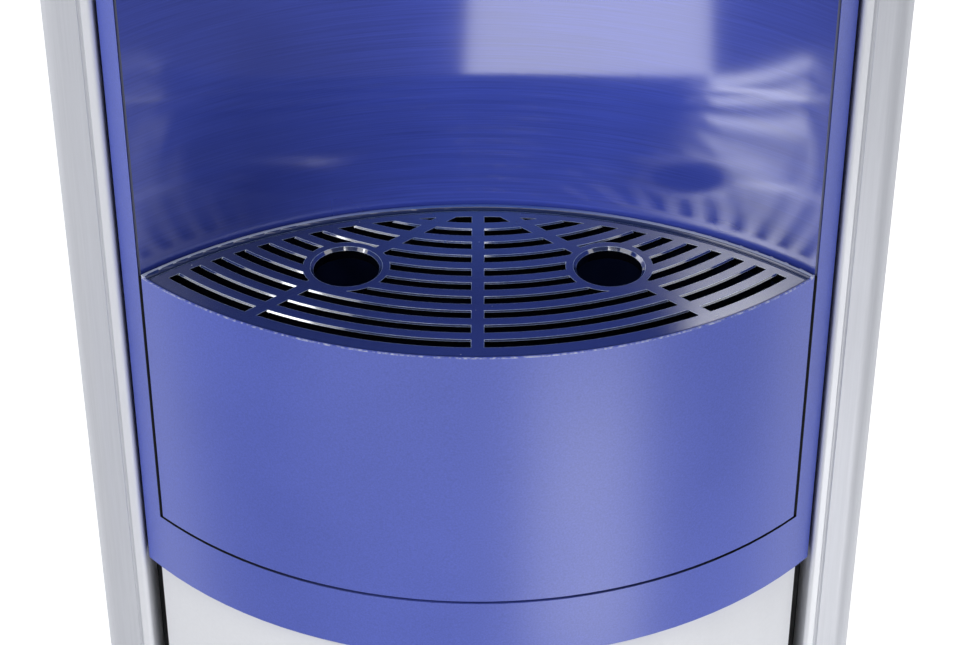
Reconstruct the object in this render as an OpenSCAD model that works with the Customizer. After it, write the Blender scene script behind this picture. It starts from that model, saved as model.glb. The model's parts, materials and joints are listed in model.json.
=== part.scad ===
// Free-standing water cooler with a lens-shaped drip tray between two pillars.
// Millimetres. The front faces -Y, +Z is up, and the origin is on the floor under the middle of the body.

/* [Body] */
// Overall width over the two pillars
body_w = 323; // [310:1:340]
// Overall depth, from the bulge of the front to the condenser wires
body_d = 340; // [330:1:380]
// Overall height, to the rim that the bottle sits in
body_h = 985; // [970:1:1050]
// Height of the rubber feet under the plinth
foot_h = 14; // [10:1:25]
// Radius of a rubber foot
foot_r = 16; // [12:1:20]
// Height of the plinth tray
plinth_h = 34; // [28:1:40]
// Wall of the plinth tray
plinth_t = 3; // [2:0.5:5]
// Thickness of the sheet steel casing
sheet_t = 1.2; // [0.8:0.1:2]

/* [Pillars] */
// Width of a pillar seen from the front
pillar_w = 20; // [18:0.5:24]
// Depth of a pillar from front to back
pillar_d = 50; // [44:1:60]
// Distance of the pillar front behind the tray corners
pillar_set = 6; // [4:0.5:8]
// Radius of the pillar's outer front edge
pillar_edge_r = 8; // [5:0.5:9]
// Radius of the bead along the pillar's inner front edge
pillar_bead_r = 2; // [1.5:0.1:2.5]
// Radius of the groove beside the bead
pillar_groove_r = 0.8; // [0.5:0.1:1.2]
// Gap between a pillar and the front frame
pillar_gap = 1.5; // [1.2:0.1:2.5]

/* [Front frame] */
// Width of the window in the frame, corner to corner of the tray
tray_w = 265; // [258:1:268]
// Radius of the convex front
front_r = 187; // [180:1:200]
// Radius of the concave niche wall
niche_r = 195.5; // [186:0.5:205]
// Thickness of the frame
frame_t = 3; // [2:0.5:4]
// Thickness of the niche wall
niche_t = 2; // [1.5:0.1:3]
// Height of the tray's rim above the floor
tray_top_z = 560; // [545:1:575]
// Height of the niche above the tray
niche_h = 290; // [270:1:300]
// Distance from the tray's rim down to the frame's lower edge
frame_drop = 150; // [145:1:160]
// Depth of the frame's side returns
return_d = 24; // [18:1:30]

/* [Drip tray] */
// Height of the tray's front
tray_front_h = 120; // [100:1:125]
// Seam round the tray's front
seam = 1.3; // [0.6:0.1:2]
// Wall of the tray
tray_t = 3; // [2:0.5:4]
// Width of the tray's rim in front of the grid
rim_w = 1.4; // [1:0.1:2.4]
// Radius of the bead along the tray's rear rim
bead_r = 1.6; // [1:0.1:2.2]
// Thickness of the grid
grid_t = 5; // [3:0.5:7]
// Depth of the grid's face below the rim
grid_drop = 0.5; // [0.5:0.1:2]
// Number of slot rows
slot_rows = 10; // [6:1:11]
// Width of a slot
slot_w = 4; // [3:0.5:6]
// Distance from one slot row to the next
slot_pitch = 9.57; // [8.5:0.01:10]
// Border between the tray's front and the first slot
grid_front_border = 8.1; // [4:0.1:10]
// Border between the niche wall and the slots
grid_rear_border = 8.6; // [8:0.1:13]
// Width of the centre rib and of the spokes
spoke_w = 5; // [3:0.5:6]
// Angle of the spokes from the width of the tray
spoke_angle = 42.5; // [35:0.5:50]
// Radius of the finger holes
hole_r = 13; // [11:0.5:14]
// Width of the ring round a finger hole
hole_ring = 4.2; // [3:0.1:6]
// Chamfer of the slots and the holes
grid_chamfer = 0.6; // [0.3:0.1:1]

/* [Taps] */
// Distance from the middle to a tap, and to a finger hole
tap_x = 51.6; // [46:0.1:56]
// Distance of the spouts and the finger holes behind the tray corners
tap_set = 7.2; // [4:0.1:10]
// Height of the tap shanks above the tray's rim
tap_h = 220; // [205:1:225]
// Radius of a tap body
tap_r = 11; // [10:0.5:13]
// Radius of a spout
spout_r = 7; // [6:0.5:8]
// Length of a spout below the tap body
spout_len = 27; // [20:1:34]
// Radius of a tap shank
shank_r = 8; // [7:0.5:9]
// Length of a lever in front of its pin
lever_len = 46; // [38:1:52]
// Width of a lever
lever_w = 16; // [12:1:22]

/* [Door] */
// Distance of the door face behind the frame face
door_set = 3; // [1:0.5:5]
// Depth of the door
door_t = 12; // [10:0.5:13]
// Wall of the door
door_wall = 2; // [1.5:0.1:3]
// Gap between a pillar and the door
door_gap = 6.5; // [5:0.5:9]
// Radius of a hinge pin
pin_r = 2.5; // [2:0.1:3]

/* [Bottle seat] */
// Thickness of the top cover
cover_t = 30; // [26:1:38]
// Height of the bottle rim above the cover
rim_h = 30; // [20:1:40]
// Radius inside the bottle rim
rim_r = 100; // [92:1:104]
// Thickness of the bottle rim
rim_t = 12; // [8:1:14]
// Distance of the bottle axis behind the middle of the body
bottle_y = 26; // [24:1:30]
// Radius of the spike that opens the bottle
spike_r = 14; // [12:0.5:16]
// Length of the straight part of the spike
spike_len = 44; // [36:1:50]

/* [Tanks] */
// Outer radius of the cold tank
cold_r = 60; // [56:1:62]
// Height of the cold tank
cold_h = 200; // [180:1:205]
// Outer radius of the hot tank
hot_r = 50; // [44:1:54]
// Height of the hot tank
hot_h = 150; // [120:1:155]
// Wall of both tanks
tank_t = 1; // [0.8:0.1:2]
// Thickness of the foam round the tanks
foam_t = 20; // [16:1:22]
// Outer radius of a hose
hose_r = 6; // [5:0.5:6.5]

/* [Cooling] */
// Radius of the compressor
compressor_r = 54; // [48:1:56]
// Height of the compressor shell
compressor_h = 118; // [100:1:150]
// Space for the condenser behind the rear panel
condenser_space = 24; // [20:1:30]
// Radius of the condenser tube
coil_tube_r = 2.5; // [2:0.1:3]
// Radius of a condenser wire
wire_r = 0.8; // [0.6:0.1:1]
// Number of condenser runs
coil_runs = 11; // [7:2:13]
// Distance between condenser runs
coil_pitch = 28; // [22:1:30]
// Half the length of a condenser run
coil_half = 108; // [95:1:112]
// Number of condenser wires
wire_count = 21; // [11:2:25]

/* [Hidden] */
// Clearance between pieces that are fixed together
fit = 0.2;
// Clearance between curved faces, and under pieces that slide
slide_fit = 0.3;
// Radial clearance of a pin that turns
run_fit = 0.05;
// Gap between flat faces that lie on each other
face_gap = 0.1;
// Swell of a pipe at its elbows
elbow_swell = 0.05;
// Overshoot of a cut past the face that it opens
cut = 1;
// Facets of a round face, and of the large discs of the front
$fn = 96;
disc_fn = 360;

// Plan of the front
half_w = body_w / 2;
chord = tray_w / 2;
front_y = -body_d / 2;
front_cy = front_y + front_r;
tray_y = front_cy - sqrt(front_r * front_r - chord * chord);
niche_cy = tray_y - sqrt(niche_r * niche_r - chord * chord);
niche_back_y = niche_cy + niche_r + niche_t;
back_y = body_d / 2 - condenser_space;
pillar_x = half_w - pillar_w;
pillar_y = tray_y + pillar_set;
pillar_back_y = pillar_y + pillar_d;
frame_hw = pillar_x - pillar_gap;
pillar_wall = 3;
pillar_front_wall = pillar_edge_r + 2;
pillar_back_wall = 16;
seal_inset = 9;
seal_d = 18;
panel_inset = 1;
panel_slot_d = 10;
panel_lift = 2;
panel_x = half_w - panel_inset - sheet_t;
deck_hw = panel_x - slide_fit;
flange_d = 14;
flange_y = back_y - 2 * sheet_t - fit;
plinth_set = 2;
foot_side = 24;
foot_front = 36;
foot_rear = 28;
foot_plug_over = 2;

// Heights
plinth_z = foot_h;
plinth_top = plinth_z + plinth_h;
frame_bottom = tray_top_z - frame_drop;
tray_bottom = tray_top_z - tray_front_h;
window_bottom = tray_bottom - seam;
niche_top = tray_top_z + niche_h;
cover_top = body_h - rim_h;
cover_z = cover_top - cover_t;
frame_top = cover_z - fit;
shelf_t = 3;
shelf_top = tray_bottom - slide_fit;
shelf_z = shelf_top - shelf_t;
shelf_over = 4;
ceiling_t = 2.5;
ceiling_over = 2;
mid_deck_gap = 6;
mid_deck_z = shelf_z - mid_deck_gap;
tap_z = tray_top_z + tap_h;

// Drip tray and grid
tray_fit = 0.8;
grid_top = tray_top_z - grid_drop;
grid_z = grid_top - grid_t;
ledge_z = grid_z - slide_fit;
ledge_w = 3;
bead_w = 2 * bead_r;
tap_y = tray_y + tap_set;

// Taps
tap_low = 18;
tap_high = 16;
tap_body_z = tap_z - tap_low;
tap_body_top = tap_z + tap_high;
spout_z = tap_body_z - spout_len;
spout_bore = 4.5;
shank_bore = 4;
tap_wall = 4;
valve_r = tap_r - tap_wall;
valve_floor = 3;
flange_t = 3;
tap_flange_w = 6;
tap_flange_r = shank_r + tap_flange_w;
gasket_over = 1;
gasket_r = tap_flange_r + gasket_over;
gasket_t = 2;
nut_w = 6;
nut_r = shank_r + nut_w;
nut_t = 8;
niche_front_y = niche_cy + sqrt(niche_r * niche_r - pow(tap_x + gasket_r, 2));
niche_rear_y = niche_cy + sqrt(pow(niche_r + niche_t, 2) - pow(tap_x - nut_r, 2));
gasket_y = niche_front_y - gasket_t;
nut_y = niche_rear_y + slide_fit;
shank_over = 1.5;
shank_room = 0.5;
shank_end_y = nut_y + nut_t + shank_over;
bonnet_h = 14;
bonnet_over = 1.5;
bonnet_r = tap_r + bonnet_over;
bonnet_floor = 1;
seal_flange_t = 2;
bonnet_z = tap_body_top + fit + seal_flange_t;
lever_pin_r = 1.5;
lever_offset = 6;
lever_pin_y = tap_y - lever_offset;
lever_pin_rise = 6;
lever_pin_z = bonnet_z + lever_pin_rise;
lever_t = 4;
lever_barrel_r = 4;
lever_slot = 8;
lever_tail = 9;
lever_tail_room = 2;
lever_rise = 14;
paddle_len = 26;
paddle_rise = 3;
paddle_lean = 2;
arm_reach = 18;
arm_lean = 6;
stem_r = 1.5;
stem_head_r = 2.2;
stem_head_t = 1.5;
stem_play = 0.9;
stem_room = 1;
plug_gap = 0.6;
plug_r = valve_r - plug_gap;
plug_h = 8;
seal_neck_r = 3.4;

// Door
door_hw = pillar_x - door_gap;
door_sill = 4;
door_head = 3;
door_z = plinth_top + door_sill;
door_top = frame_bottom - door_head;
door_liner_t = 1.5;
hinge_inset = 6;
hinge_depth = 5.5;
hinge_x = door_hw - hinge_inset;
hinge_y = front_cy - sqrt(pow(front_r - door_set - hinge_depth, 2) - hinge_x * hinge_x);
hinge_boss_w = 2;
hinge_boss_r = pin_r + hinge_boss_w;
hinge_boss_h = 18;
pin_len = 14;
pin_end = 1;
bottom_flange = 26;
catch_inset = 16;
catch_x = -door_hw + catch_inset;
catch_w = 8;
catch_h = 40;
catch_z = (door_z + door_top) / 2;
strike_t = 1;
magnet_gap = 0.5;
magnet_back = 6;

// Storage box, in front of the compressor
compressor_gap = 8;
compressor_y = back_y - compressor_r - compressor_gap;
liner_t = 2;
liner_side = 4;
liner_set = 6.62;
liner_room = 6;
liner_hw = door_hw - liner_side;
liner_y = front_at(door_hw, door_set + door_t) + liner_set;
liner_back_y = compressor_y - compressor_r - liner_room;
liner_z = plinth_top + fit;
liner_top = mid_deck_z - fit;

// Bottle seat
cover_wall = 4;
well_floor_t = 3;
well_depth = 15;
well_floor_z = cover_top - well_depth;
rim_seat = 8;
rim_lead = 2;
rim_flare = 10;
cold_drop = 30;
cold_top = frame_top - cold_drop;
cold_z = cold_top - cold_h;
collar_gap = 1;
collar_r = cold_r - tank_t - collar_gap;
collar_t = 2.5;
collar_lip_w = 14;
collar_lip_r = collar_r + collar_lip_w;
collar_lip_t = 4;
collar_dip = 10;
collar_z = cold_top - collar_dip;
collar_seat = 2;
collar_hole_r = spike_r - collar_seat;
well_room = 4;
well_hole_r = collar_r + well_room;
spike_bore = 8;
spike_flange_w = 10;
spike_flange_r = spike_r + spike_flange_w;
spike_flange_t = 3;
spike_tip_h = 18;
spike_tip_r = 6;
spike_port_r = 3;
spike_port_rise = 6;

// Tanks
jacket_t = 2.5;
jacket_h = 110;
jacket_lift = 8;
baffle_lift = 60;
baffle_t = 3;
baffle_leg_r = 5;
foam_in_r = cold_r + jacket_t + 2 * slide_fit;
foam_out_r = foam_in_r + foam_t;
cold_foam_z = cold_z - foam_t;
tank_deck_z = cold_foam_z - fit - sheet_t;
hot_set = 4;
hot_y = bottle_y + hot_set;
hot_foam_t = 12;
band_t = 3;
band_h = 46;
band_lift = 40;
hot_foam_r = hot_r + band_t + 2 * slide_fit;
hot_foam_less = 3;
hot_foam_out_r = hot_foam_r + foam_t - hot_foam_less;
hot_z = mid_deck_z + sheet_t + fit + hot_foam_t;
hot_top = hot_z + hot_h;
feed_x = 15;
feed_y = bottle_y;
hose_bore = 4;
hose_room = 1;
hot_out_x = -20;
hot_out_set = 14;
hot_out_y = hot_y - hot_out_set;
hot_rise_side = 11;
hot_rise_x = -tap_x - hot_rise_side;
hose_lead = 1;
hot_rise_y = shank_end_y + fit + hose_r + hose_lead;
hot_rise_h = 46;
hot_rise_z = hot_top + hot_rise_h;
hot_riser = [
  [hot_rise_x, hot_rise_y, hot_rise_z], [hot_rise_x, hot_rise_y, tap_z],
  [-tap_x, hot_rise_y, tap_z], [-tap_x, shank_end_y + fit, tap_z]
];
deck_gap = 4;
deck_front_y = hot_rise_y + hose_r + deck_gap;
notch_x = -95;
notch_set = 48;
notch_y = back_y - notch_set;
notch_edge = 10;
deck_lip_h = 14;
deck_lip_gap = 6;
drain_rise = 14;
drain_z = hot_z + drain_rise;
drain_r = 8;
drain_bore = 5;
drain_flange_w = 6;
drain_flange_t = 3;
drain_out = 16;
drain_end_y = back_y + drain_out;
cap_r = 13;
cap_t = 2;
cap_len = 12;

// Cooling circuit
coil_drop = 60;
coil_y = body_d / 2 - 2 * wire_r - face_gap - coil_tube_r;
coil_z = frame_top - coil_drop - (coil_runs - 1) * coil_pitch;
coil_top = coil_z + (coil_runs - 1) * coil_pitch;
wire_inset = 6;
wire_pitch = 2 * (coil_half - wire_inset) / (wire_count - 1);
wire_over = 8;
bracket_w = 12;
bracket_inset = 20;
bracket_x = coil_half - bracket_inset;
compressor_plate_t = 2.5;
plate_side = 22;
plate_end = 6;
plate_weld = 0.5;
dome_over = 22;
dome_r = compressor_r + dome_over;
grommet_h = 12;
grommet_r = 9;
grommet_pin_r = 4.5;
grommet_over = 5;
grommet_side = 12;
grommet_end = 16;
compressor_z = plinth_z + plinth_t + fit + grommet_h + fit + compressor_plate_t;
compressor_top = compressor_z + compressor_h;
stub_drop = 30;
stub_z = compressor_top - stub_drop;
line_r = 2.5;
line_out = 9;
line_y = back_y + line_out;
line_side = 24;
line_x = coil_half + line_side;
discharge_x = 24;
stub_gap = 2;
suction_stub = 16;
drier_r = 9;
drier_h = 70;
drier_end = 10;
drier_lead = 20;
drier_side = 16;
drier_x = -coil_half - drier_side;
drier_gap = 0.5;
drier_y = body_d / 2 - drier_r - drier_gap;
drier_drop = 130;
drier_z = coil_z - drier_drop;
rear_panel_rise = 200;
rear_panel_z = plinth_top + rear_panel_rise;
line_drop = 16;
line_low_z = rear_panel_z - line_drop;
suction_side = 10;
suction_x = -coil_half - suction_side;
suction_set = 38;
suction_y = back_y - suction_set;
capillary_set = 24;
capillary_y = back_y - capillary_set;
evaporator_rise = 60;
evaporator_z = cold_z + evaporator_rise;
capillary_rise = 24;
capillary_z = evaporator_z + capillary_rise;

// Rear screws
screw_rows = 4;
screw_end = 20;
screw_r = 1.8;
screw_hole_r = 2;
screw_head_r = 4;
screw_head_t = 2.3;
screw_tail = 4;

// Vents of the side panels
vent_rows = 9;
vent_pitch = 12;
vent_r = 2;
vent_len = 70;
vent_rise = 24;
vent_z = plinth_top + vent_rise;

// Electrical parts
bezel_t = 3;
bezel_y = back_y + face_gap + bezel_t;
switch_x = 84;
switch_gap = 34;
switch_rise = 50;
switch_z = rear_panel_z + switch_rise;
switch_w = 14;
switch_h = 24;
switch_depth = 20;
switch_rim = 3;
rocker_set = 2;
rocker_y = bezel_y - rocker_set;
rocker_face = 3.4;
rocker_w = 9;
rocker_r = 9;
rocker_pivot_r = 1.5;
rocker_pivot_len = 2;
rocker_tilt = 8;
inlet_x = -70;
inlet_w = 30;
inlet_h = 26;
inlet_depth = 20;
inlet_rim = 4;
socket_w = 24;
socket_h = 18;
socket_depth = 16;
blade_len = 10;
blade_w = 2;
blade_h = 4;
blade_pitch = 7;
lens_r = 2.5;
lens_pitch = 24;
lens_rise = 38;
lens_z = niche_top + lens_rise;
board_t = 1.6;
board_set = 12;
board_y = front_y + frame_t + board_set;
board_hw = 40;
board_h = 50;

// Y of the convex front, a given depth inside it, at a distance from the middle
function front_at(x, inset) = front_cy - sqrt(pow(front_r - inset, 2) - x * x);

// Upright disc whose edge is the convex front, moved inwards
module front_disc(inset, z0, z1) {
  translate([0, front_cy, z0])
    cylinder(r = front_r - inset, h = z1 - z0, $fn = disc_fn);
}

// Upright disc whose edge is the concave niche wall, moved outwards
module niche_disc(outset, z0, z1) {
  translate([0, niche_cy, z0])
    cylinder(r = niche_r + outset, h = z1 - z0, $fn = disc_fn);
}

// Block that is symmetric about the middle of the body
module slab(hw, y0, y1, z0, z1) {
  translate([-hw, y0, z0])
    cube([2 * hw, y1 - y0, z1 - z0]);
}

// Curved plate between two depths behind the convex front
module curved_plate(inset, depth, hw, z0, z1) {
  difference() {
    intersection() {
      front_disc(inset, z0, z1);
      slab(hw, front_y - cut, front_cy, z0, z1);
    }
    front_disc(inset + depth, z0 - cut, z1 + cut);
  }
}

// Lens between the convex front and the niche wall
module lens(front_inset, niche_outset, hw, z0, z1) {
  intersection() {
    front_disc(front_inset, z0, z1);
    niche_disc(niche_outset, z0, z1);
    slab(hw, front_y - cut, front_cy, z0, z1);
  }
}

// Cylinder along Y from one depth to another
module along_y(x, z, r, y0, y1) {
  translate([x, y0, z])
    rotate([-90, 0, 0])
      cylinder(r = r, h = y1 - y0);
}

// Cylinder along X, centred on a point
module across(x, y, z, r, length) {
  translate([x - length / 2, y, z])
    rotate([0, 90, 0])
      cylinder(r = r, h = length);
}

// Straight rod between two points
module rod(a, b, r) {
  d = b - a;
  length = norm(d);
  translate(a)
    rotate([0, acos(d[2] / length), atan2(d[1], d[0])])
      cylinder(r = r, h = length);
}

// Pipe with round elbows through a list of points
module pipe(points, r) {
  for (i = [0 : len(points) - 2]) {
    rod(points[i], points[i + 1], r);
  }
  for (i = [1 : len(points) - 2]) {
    translate(points[i])
      sphere(r = r + elbow_swell);
  }
}

module both_sides() {
  children();
  mirror([1, 0, 0])
    children();
}

// Plan of the plinth: narrow between the pillars, wide behind them
module plinth_plan(inset) {
  intersection() {
    union() {
      translate([-frame_hw + inset, front_y])
        square([2 * (frame_hw - inset), back_y - front_y - 2 * sheet_t - inset]);
      translate([-deck_hw + inset, pillar_back_y + slide_fit + inset])
        square([2 * (deck_hw - inset), flange_y - pillar_back_y - 2 * slide_fit - 2 * inset]);
    }
    union() {
      translate([0, front_cy])
        circle(r = front_r - door_set - plinth_set - inset);
      translate([-half_w, front_cy])
        square([body_w, body_d]);
    }
  }
}

foot_places = [
  for (sx = [-1, 1]) [sx * (frame_hw - foot_side), tray_y + foot_front],
  for (sx = [-1, 1]) [sx * (deck_hw - foot_side), flange_y - foot_rear]
];
grommet_places = [
  for (sx = [-1, 1]) for (sy = [-1, 1])
    [sx * (compressor_r + grommet_side), compressor_y + sy * (compressor_r - grommet_end)]
];

module base_pan() {
  color([0.2, 0.2, 0.22])
    difference() {
      union() {
        difference() {
          translate([0, 0, plinth_z])
            linear_extrude(plinth_h)
              plinth_plan(0);
          translate([0, 0, plinth_z + plinth_t])
            linear_extrude(plinth_h)
              plinth_plan(plinth_t);
        }
        translate([hinge_x, hinge_y, plinth_z])
          cylinder(r = hinge_boss_r, h = plinth_h);
      }
      for (p = foot_places) {
        translate([p[0], p[1], plinth_z - cut])
          cylinder(r = foot_r / 2 + fit, h = plinth_t + 2 * cut);
      }
      translate([hinge_x, hinge_y, plinth_top - pin_len])
        cylinder(r = pin_r + run_fit, h = pin_len + cut);
    }
}

module feet() {
  color([0.08, 0.08, 0.09])
    for (p = foot_places) {
      translate([p[0], p[1], 0]) {
        cylinder(r = foot_r, h = foot_h - fit);
        cylinder(r = foot_r / 2, h = foot_h + plinth_t + foot_plug_over);
      }
    }
}

module pillar_plan() {
  slot_x = panel_x - fit;
  difference() {
    union() {
      translate([pillar_x, pillar_y + pillar_edge_r])
        square([pillar_w, pillar_d - pillar_edge_r]);
      translate([pillar_x + pillar_bead_r, pillar_y])
        square([pillar_w - pillar_bead_r - pillar_edge_r, pillar_edge_r + cut]);
      translate([pillar_x, pillar_y + pillar_bead_r])
        square([pillar_w / 2, pillar_edge_r]);
      translate([half_w - pillar_edge_r, pillar_y + pillar_edge_r])
        circle(r = pillar_edge_r);
      translate([pillar_x + pillar_bead_r, pillar_y + pillar_bead_r])
        circle(r = pillar_bead_r);
    }
    translate([pillar_x + 2 * pillar_bead_r + pillar_groove_r, pillar_y])
      circle(r = pillar_groove_r);
    translate([pillar_x + pillar_wall, pillar_y + pillar_front_wall])
      square([pillar_w - 2 * pillar_wall, pillar_d - pillar_front_wall - pillar_back_wall]);
    translate([slot_x, pillar_back_y - panel_slot_d])
      square([sheet_t + 2 * fit, panel_slot_d + cut]);
  }
}

module pillar_right() {
  color([0.76, 0.77, 0.81])
    translate([0, 0, plinth_z])
      linear_extrude(frame_top - plinth_z)
        pillar_plan();
}

module pillar_left() {
  mirror([1, 0, 0])
    pillar_right();
}

module pillar_seals() {
  color([0.05, 0.05, 0.05])
    both_sides()
      translate([frame_hw + fit, pillar_y + seal_inset, frame_bottom])
        cube([pillar_gap - 2 * fit, seal_d, frame_top - frame_bottom]);
}

screw_step = (frame_top - rear_panel_z - 2 * screw_end) / (screw_rows - 1);
screw_heights = [for (i = [0 : screw_rows - 1]) rear_panel_z + screw_end + i * screw_step];
screw_x = panel_x - flange_d / 2;

module screw_holes(y0, y1) {
  for (z = screw_heights) {
    both_sides()
      along_y(screw_x, z, screw_hole_r, y0, y1);
  }
}

// Rows of round-ended slots in a side panel, beside the compressor
module vents() {
  for (i = [0 : vent_rows - 1]) {
    translate([panel_x - cut, compressor_y - vent_len / 2, vent_z + i * vent_pitch]) {
      translate([0, 0, -vent_r])
        cube([sheet_t + 2 * cut, vent_len, 2 * vent_r]);
      for (y = [0, vent_len]) {
        translate([0, y, 0])
          rotate([0, 90, 0])
            cylinder(r = vent_r, h = sheet_t + 2 * cut);
      }
    }
  }
}

module side_panel_right() {
  front = pillar_back_y - panel_slot_d + fit;
  low = plinth_z + panel_lift;
  color([0.9, 0.9, 0.91])
    difference() {
      union() {
        translate([panel_x, front, low])
          cube([sheet_t, flange_y + sheet_t - front, frame_top - low]);
        translate([panel_x - flange_d, flange_y, low])
          cube([flange_d + sheet_t, sheet_t, frame_top - low]);
      }
      vents();
      screw_holes(flange_y - cut, flange_y + sheet_t + cut);
    }
}

module side_panel_left() {
  mirror([1, 0, 0])
    side_panel_right();
}

switch_places = [switch_x - switch_gap / 2, switch_x + switch_gap / 2];

module rear_panel() {
  color([0.86, 0.86, 0.87])
    difference() {
      slab(panel_x, back_y - sheet_t, back_y, rear_panel_z, frame_top);
      screw_holes(back_y - sheet_t - cut, back_y + cut);
      along_y(0, drain_z, drain_r + slide_fit, back_y - sheet_t - cut, back_y + cut);
      for (x = switch_places) {
        translate([x - switch_w / 2 - fit, back_y - sheet_t - cut, switch_z - switch_h / 2 - fit])
          cube([switch_w + 2 * fit, sheet_t + 2 * cut, switch_h + 2 * fit]);
      }
      translate([inlet_x - inlet_w / 2 - fit, back_y - sheet_t - cut, switch_z - inlet_h / 2 - fit])
        cube([inlet_w + 2 * fit, sheet_t + 2 * cut, inlet_h + 2 * fit]);
    }
}

module rear_screws() {
  color([0.6, 0.6, 0.62])
    for (z = screw_heights) {
      both_sides() {
        along_y(screw_x, z, screw_r, flange_y - screw_tail, back_y + cut);
        along_y(screw_x, z, screw_head_r, back_y + face_gap, back_y + face_gap + screw_head_t);
      }
    }
}

module condenser_tube() {
  color([0.1, 0.1, 0.11]) {
    for (i = [0 : coil_runs - 1]) {
      across(0, coil_y, coil_z + i * coil_pitch, coil_tube_r, 2 * coil_half);
    }
    for (i = [0 : coil_runs - 2]) {
      translate([i % 2 == 0 ? coil_half : -coil_half, coil_y, coil_z + (i + 0.5) * coil_pitch])
        rotate([90, 0, 0])
          rotate([0, 0, i % 2 == 0 ? -90 : 90])
            rotate_extrude(angle = 180)
              translate([coil_pitch / 2, 0])
                circle(r = coil_tube_r);
    }
  }
}

module condenser_wires() {
  color([0.12, 0.12, 0.13])
    for (i = [0 : wire_count - 1]) {
      translate([-coil_half + wire_inset + i * wire_pitch, body_d / 2 - wire_r, coil_z - wire_over])
        cylinder(r = wire_r, h = coil_top - coil_z + 2 * wire_over);
    }
}

module condenser_brackets() {
  color([0.15, 0.15, 0.16])
    for (z = [coil_z + coil_pitch, coil_top - coil_pitch]) {
      both_sides()
        difference() {
          translate([bracket_x - bracket_w / 2, back_y + fit, z - bracket_w / 2])
            cube([bracket_w, coil_y - back_y, bracket_w]);
          across(bracket_x, coil_y, z, coil_tube_r + fit, 2 * bracket_w);
        }
    }
}

module compressor() {
  color([0.09, 0.09, 0.1]) {
    intersection() {
      translate([0, compressor_y, compressor_z])
        cylinder(r = compressor_r, h = compressor_h);
      translate([0, compressor_y, compressor_top - dome_r])
        sphere(r = dome_r);
    }
    difference() {
      slab(
        compressor_r + plate_side,
        compressor_y - compressor_r + plate_end, compressor_y + compressor_r - plate_end,
        compressor_z - compressor_plate_t, compressor_z + plate_weld
      );
      for (p = grommet_places) {
        translate([p[0], p[1], compressor_z - compressor_plate_t - cut])
          cylinder(r = grommet_pin_r + fit, h = compressor_plate_t + 3 * cut);
      }
    }
    along_y(discharge_x, stub_z, line_r, compressor_y, back_y - stub_gap);
    rod([-compressor_r - suction_stub, compressor_y, stub_z], [0, compressor_y, stub_z], line_r);
  }
}

module compressor_grommets() {
  color([0.15, 0.15, 0.15])
    for (p = grommet_places) {
      translate([p[0], p[1], plinth_z + plinth_t + fit]) {
        cylinder(r = grommet_r, h = grommet_h);
        cylinder(r = grommet_pin_r, h = grommet_h + compressor_plate_t + grommet_over);
      }
    }
}

module filter_drier() {
  color([0.72, 0.42, 0.25])
    translate([drier_x, drier_y, drier_z]) {
      cylinder(r = drier_r, h = drier_h);
      translate([0, 0, -drier_end])
        cylinder(r = line_r, h = drier_h + 2 * drier_end);
    }
}

module refrigerant_lines() {
  stub_x = -compressor_r - suction_stub;
  jacket_x = -cold_r - jacket_t - slide_fit - fit;
  color([0.72, 0.42, 0.25]) {
    pipe([
      [discharge_x, back_y - stub_gap + fit, stub_z], [discharge_x, line_y, stub_z], [line_x, line_y, stub_z],
      [line_x, line_y, coil_top], [line_x, coil_y, coil_top], [coil_half + fit, coil_y, coil_top]
    ], line_r);
    pipe([
      [-coil_half - fit, coil_y, coil_z], [drier_x, coil_y, coil_z], [drier_x, drier_y, coil_z - drier_lead],
      [drier_x, drier_y, drier_z + drier_h + drier_end + fit]
    ], line_r);
    pipe([
      [drier_x, drier_y, drier_z - drier_end - fit], [drier_x, drier_y, line_low_z],
      [drier_x, capillary_y, line_low_z], [drier_x, capillary_y, capillary_z],
      [drier_x, bottle_y, capillary_z], [jacket_x, bottle_y, capillary_z]
    ], line_r);
    pipe([
      [jacket_x, bottle_y, evaporator_z], [suction_x, bottle_y, evaporator_z],
      [suction_x, suction_y, evaporator_z], [suction_x, suction_y, stub_z],
      [suction_x, compressor_y, stub_z], [stub_x - fit, compressor_y, stub_z]
    ], line_r);
  }
}

// Folded deck between the side panels, with a notch for the refrigerant lines
module deck(z) {
  difference() {
    union() {
      slab(deck_hw, deck_front_y, flange_y - fit, z, z + sheet_t);
      both_sides()
        translate([deck_hw - sheet_t, pillar_back_y + deck_lip_gap, z - deck_lip_h])
          cube([sheet_t, flange_y - pillar_back_y - 2 * deck_lip_gap, deck_lip_h + sheet_t / 2]);
    }
    translate([-deck_hw + notch_edge, notch_y, z - cut])
      cube([deck_hw - notch_edge + notch_x, flange_y - notch_y - notch_edge, sheet_t + 2 * cut]);
  }
}

module mid_deck() {
  color([0.7, 0.71, 0.72])
    deck(mid_deck_z);
}

module tank_deck() {
  color([0.7, 0.71, 0.72])
    difference() {
      deck(tank_deck_z);
      translate([feed_x, feed_y, tank_deck_z - cut])
        cylinder(r = hose_r + hose_room, h = sheet_t + 2 * cut);
    }
}

module cold_tank() {
  color([0.8, 0.81, 0.82])
    difference() {
      translate([0, bottle_y, cold_z])
        cylinder(r = cold_r, h = cold_h);
      translate([0, bottle_y, cold_z + tank_t])
        cylinder(r = cold_r - tank_t, h = cold_h);
      translate([feed_x, feed_y, cold_z - cut])
        cylinder(r = hose_bore, h = 2 * cut + tank_t);
      along_y(tap_x, tap_z, hose_bore, bottle_y - cold_r, bottle_y);
    }
}

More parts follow.
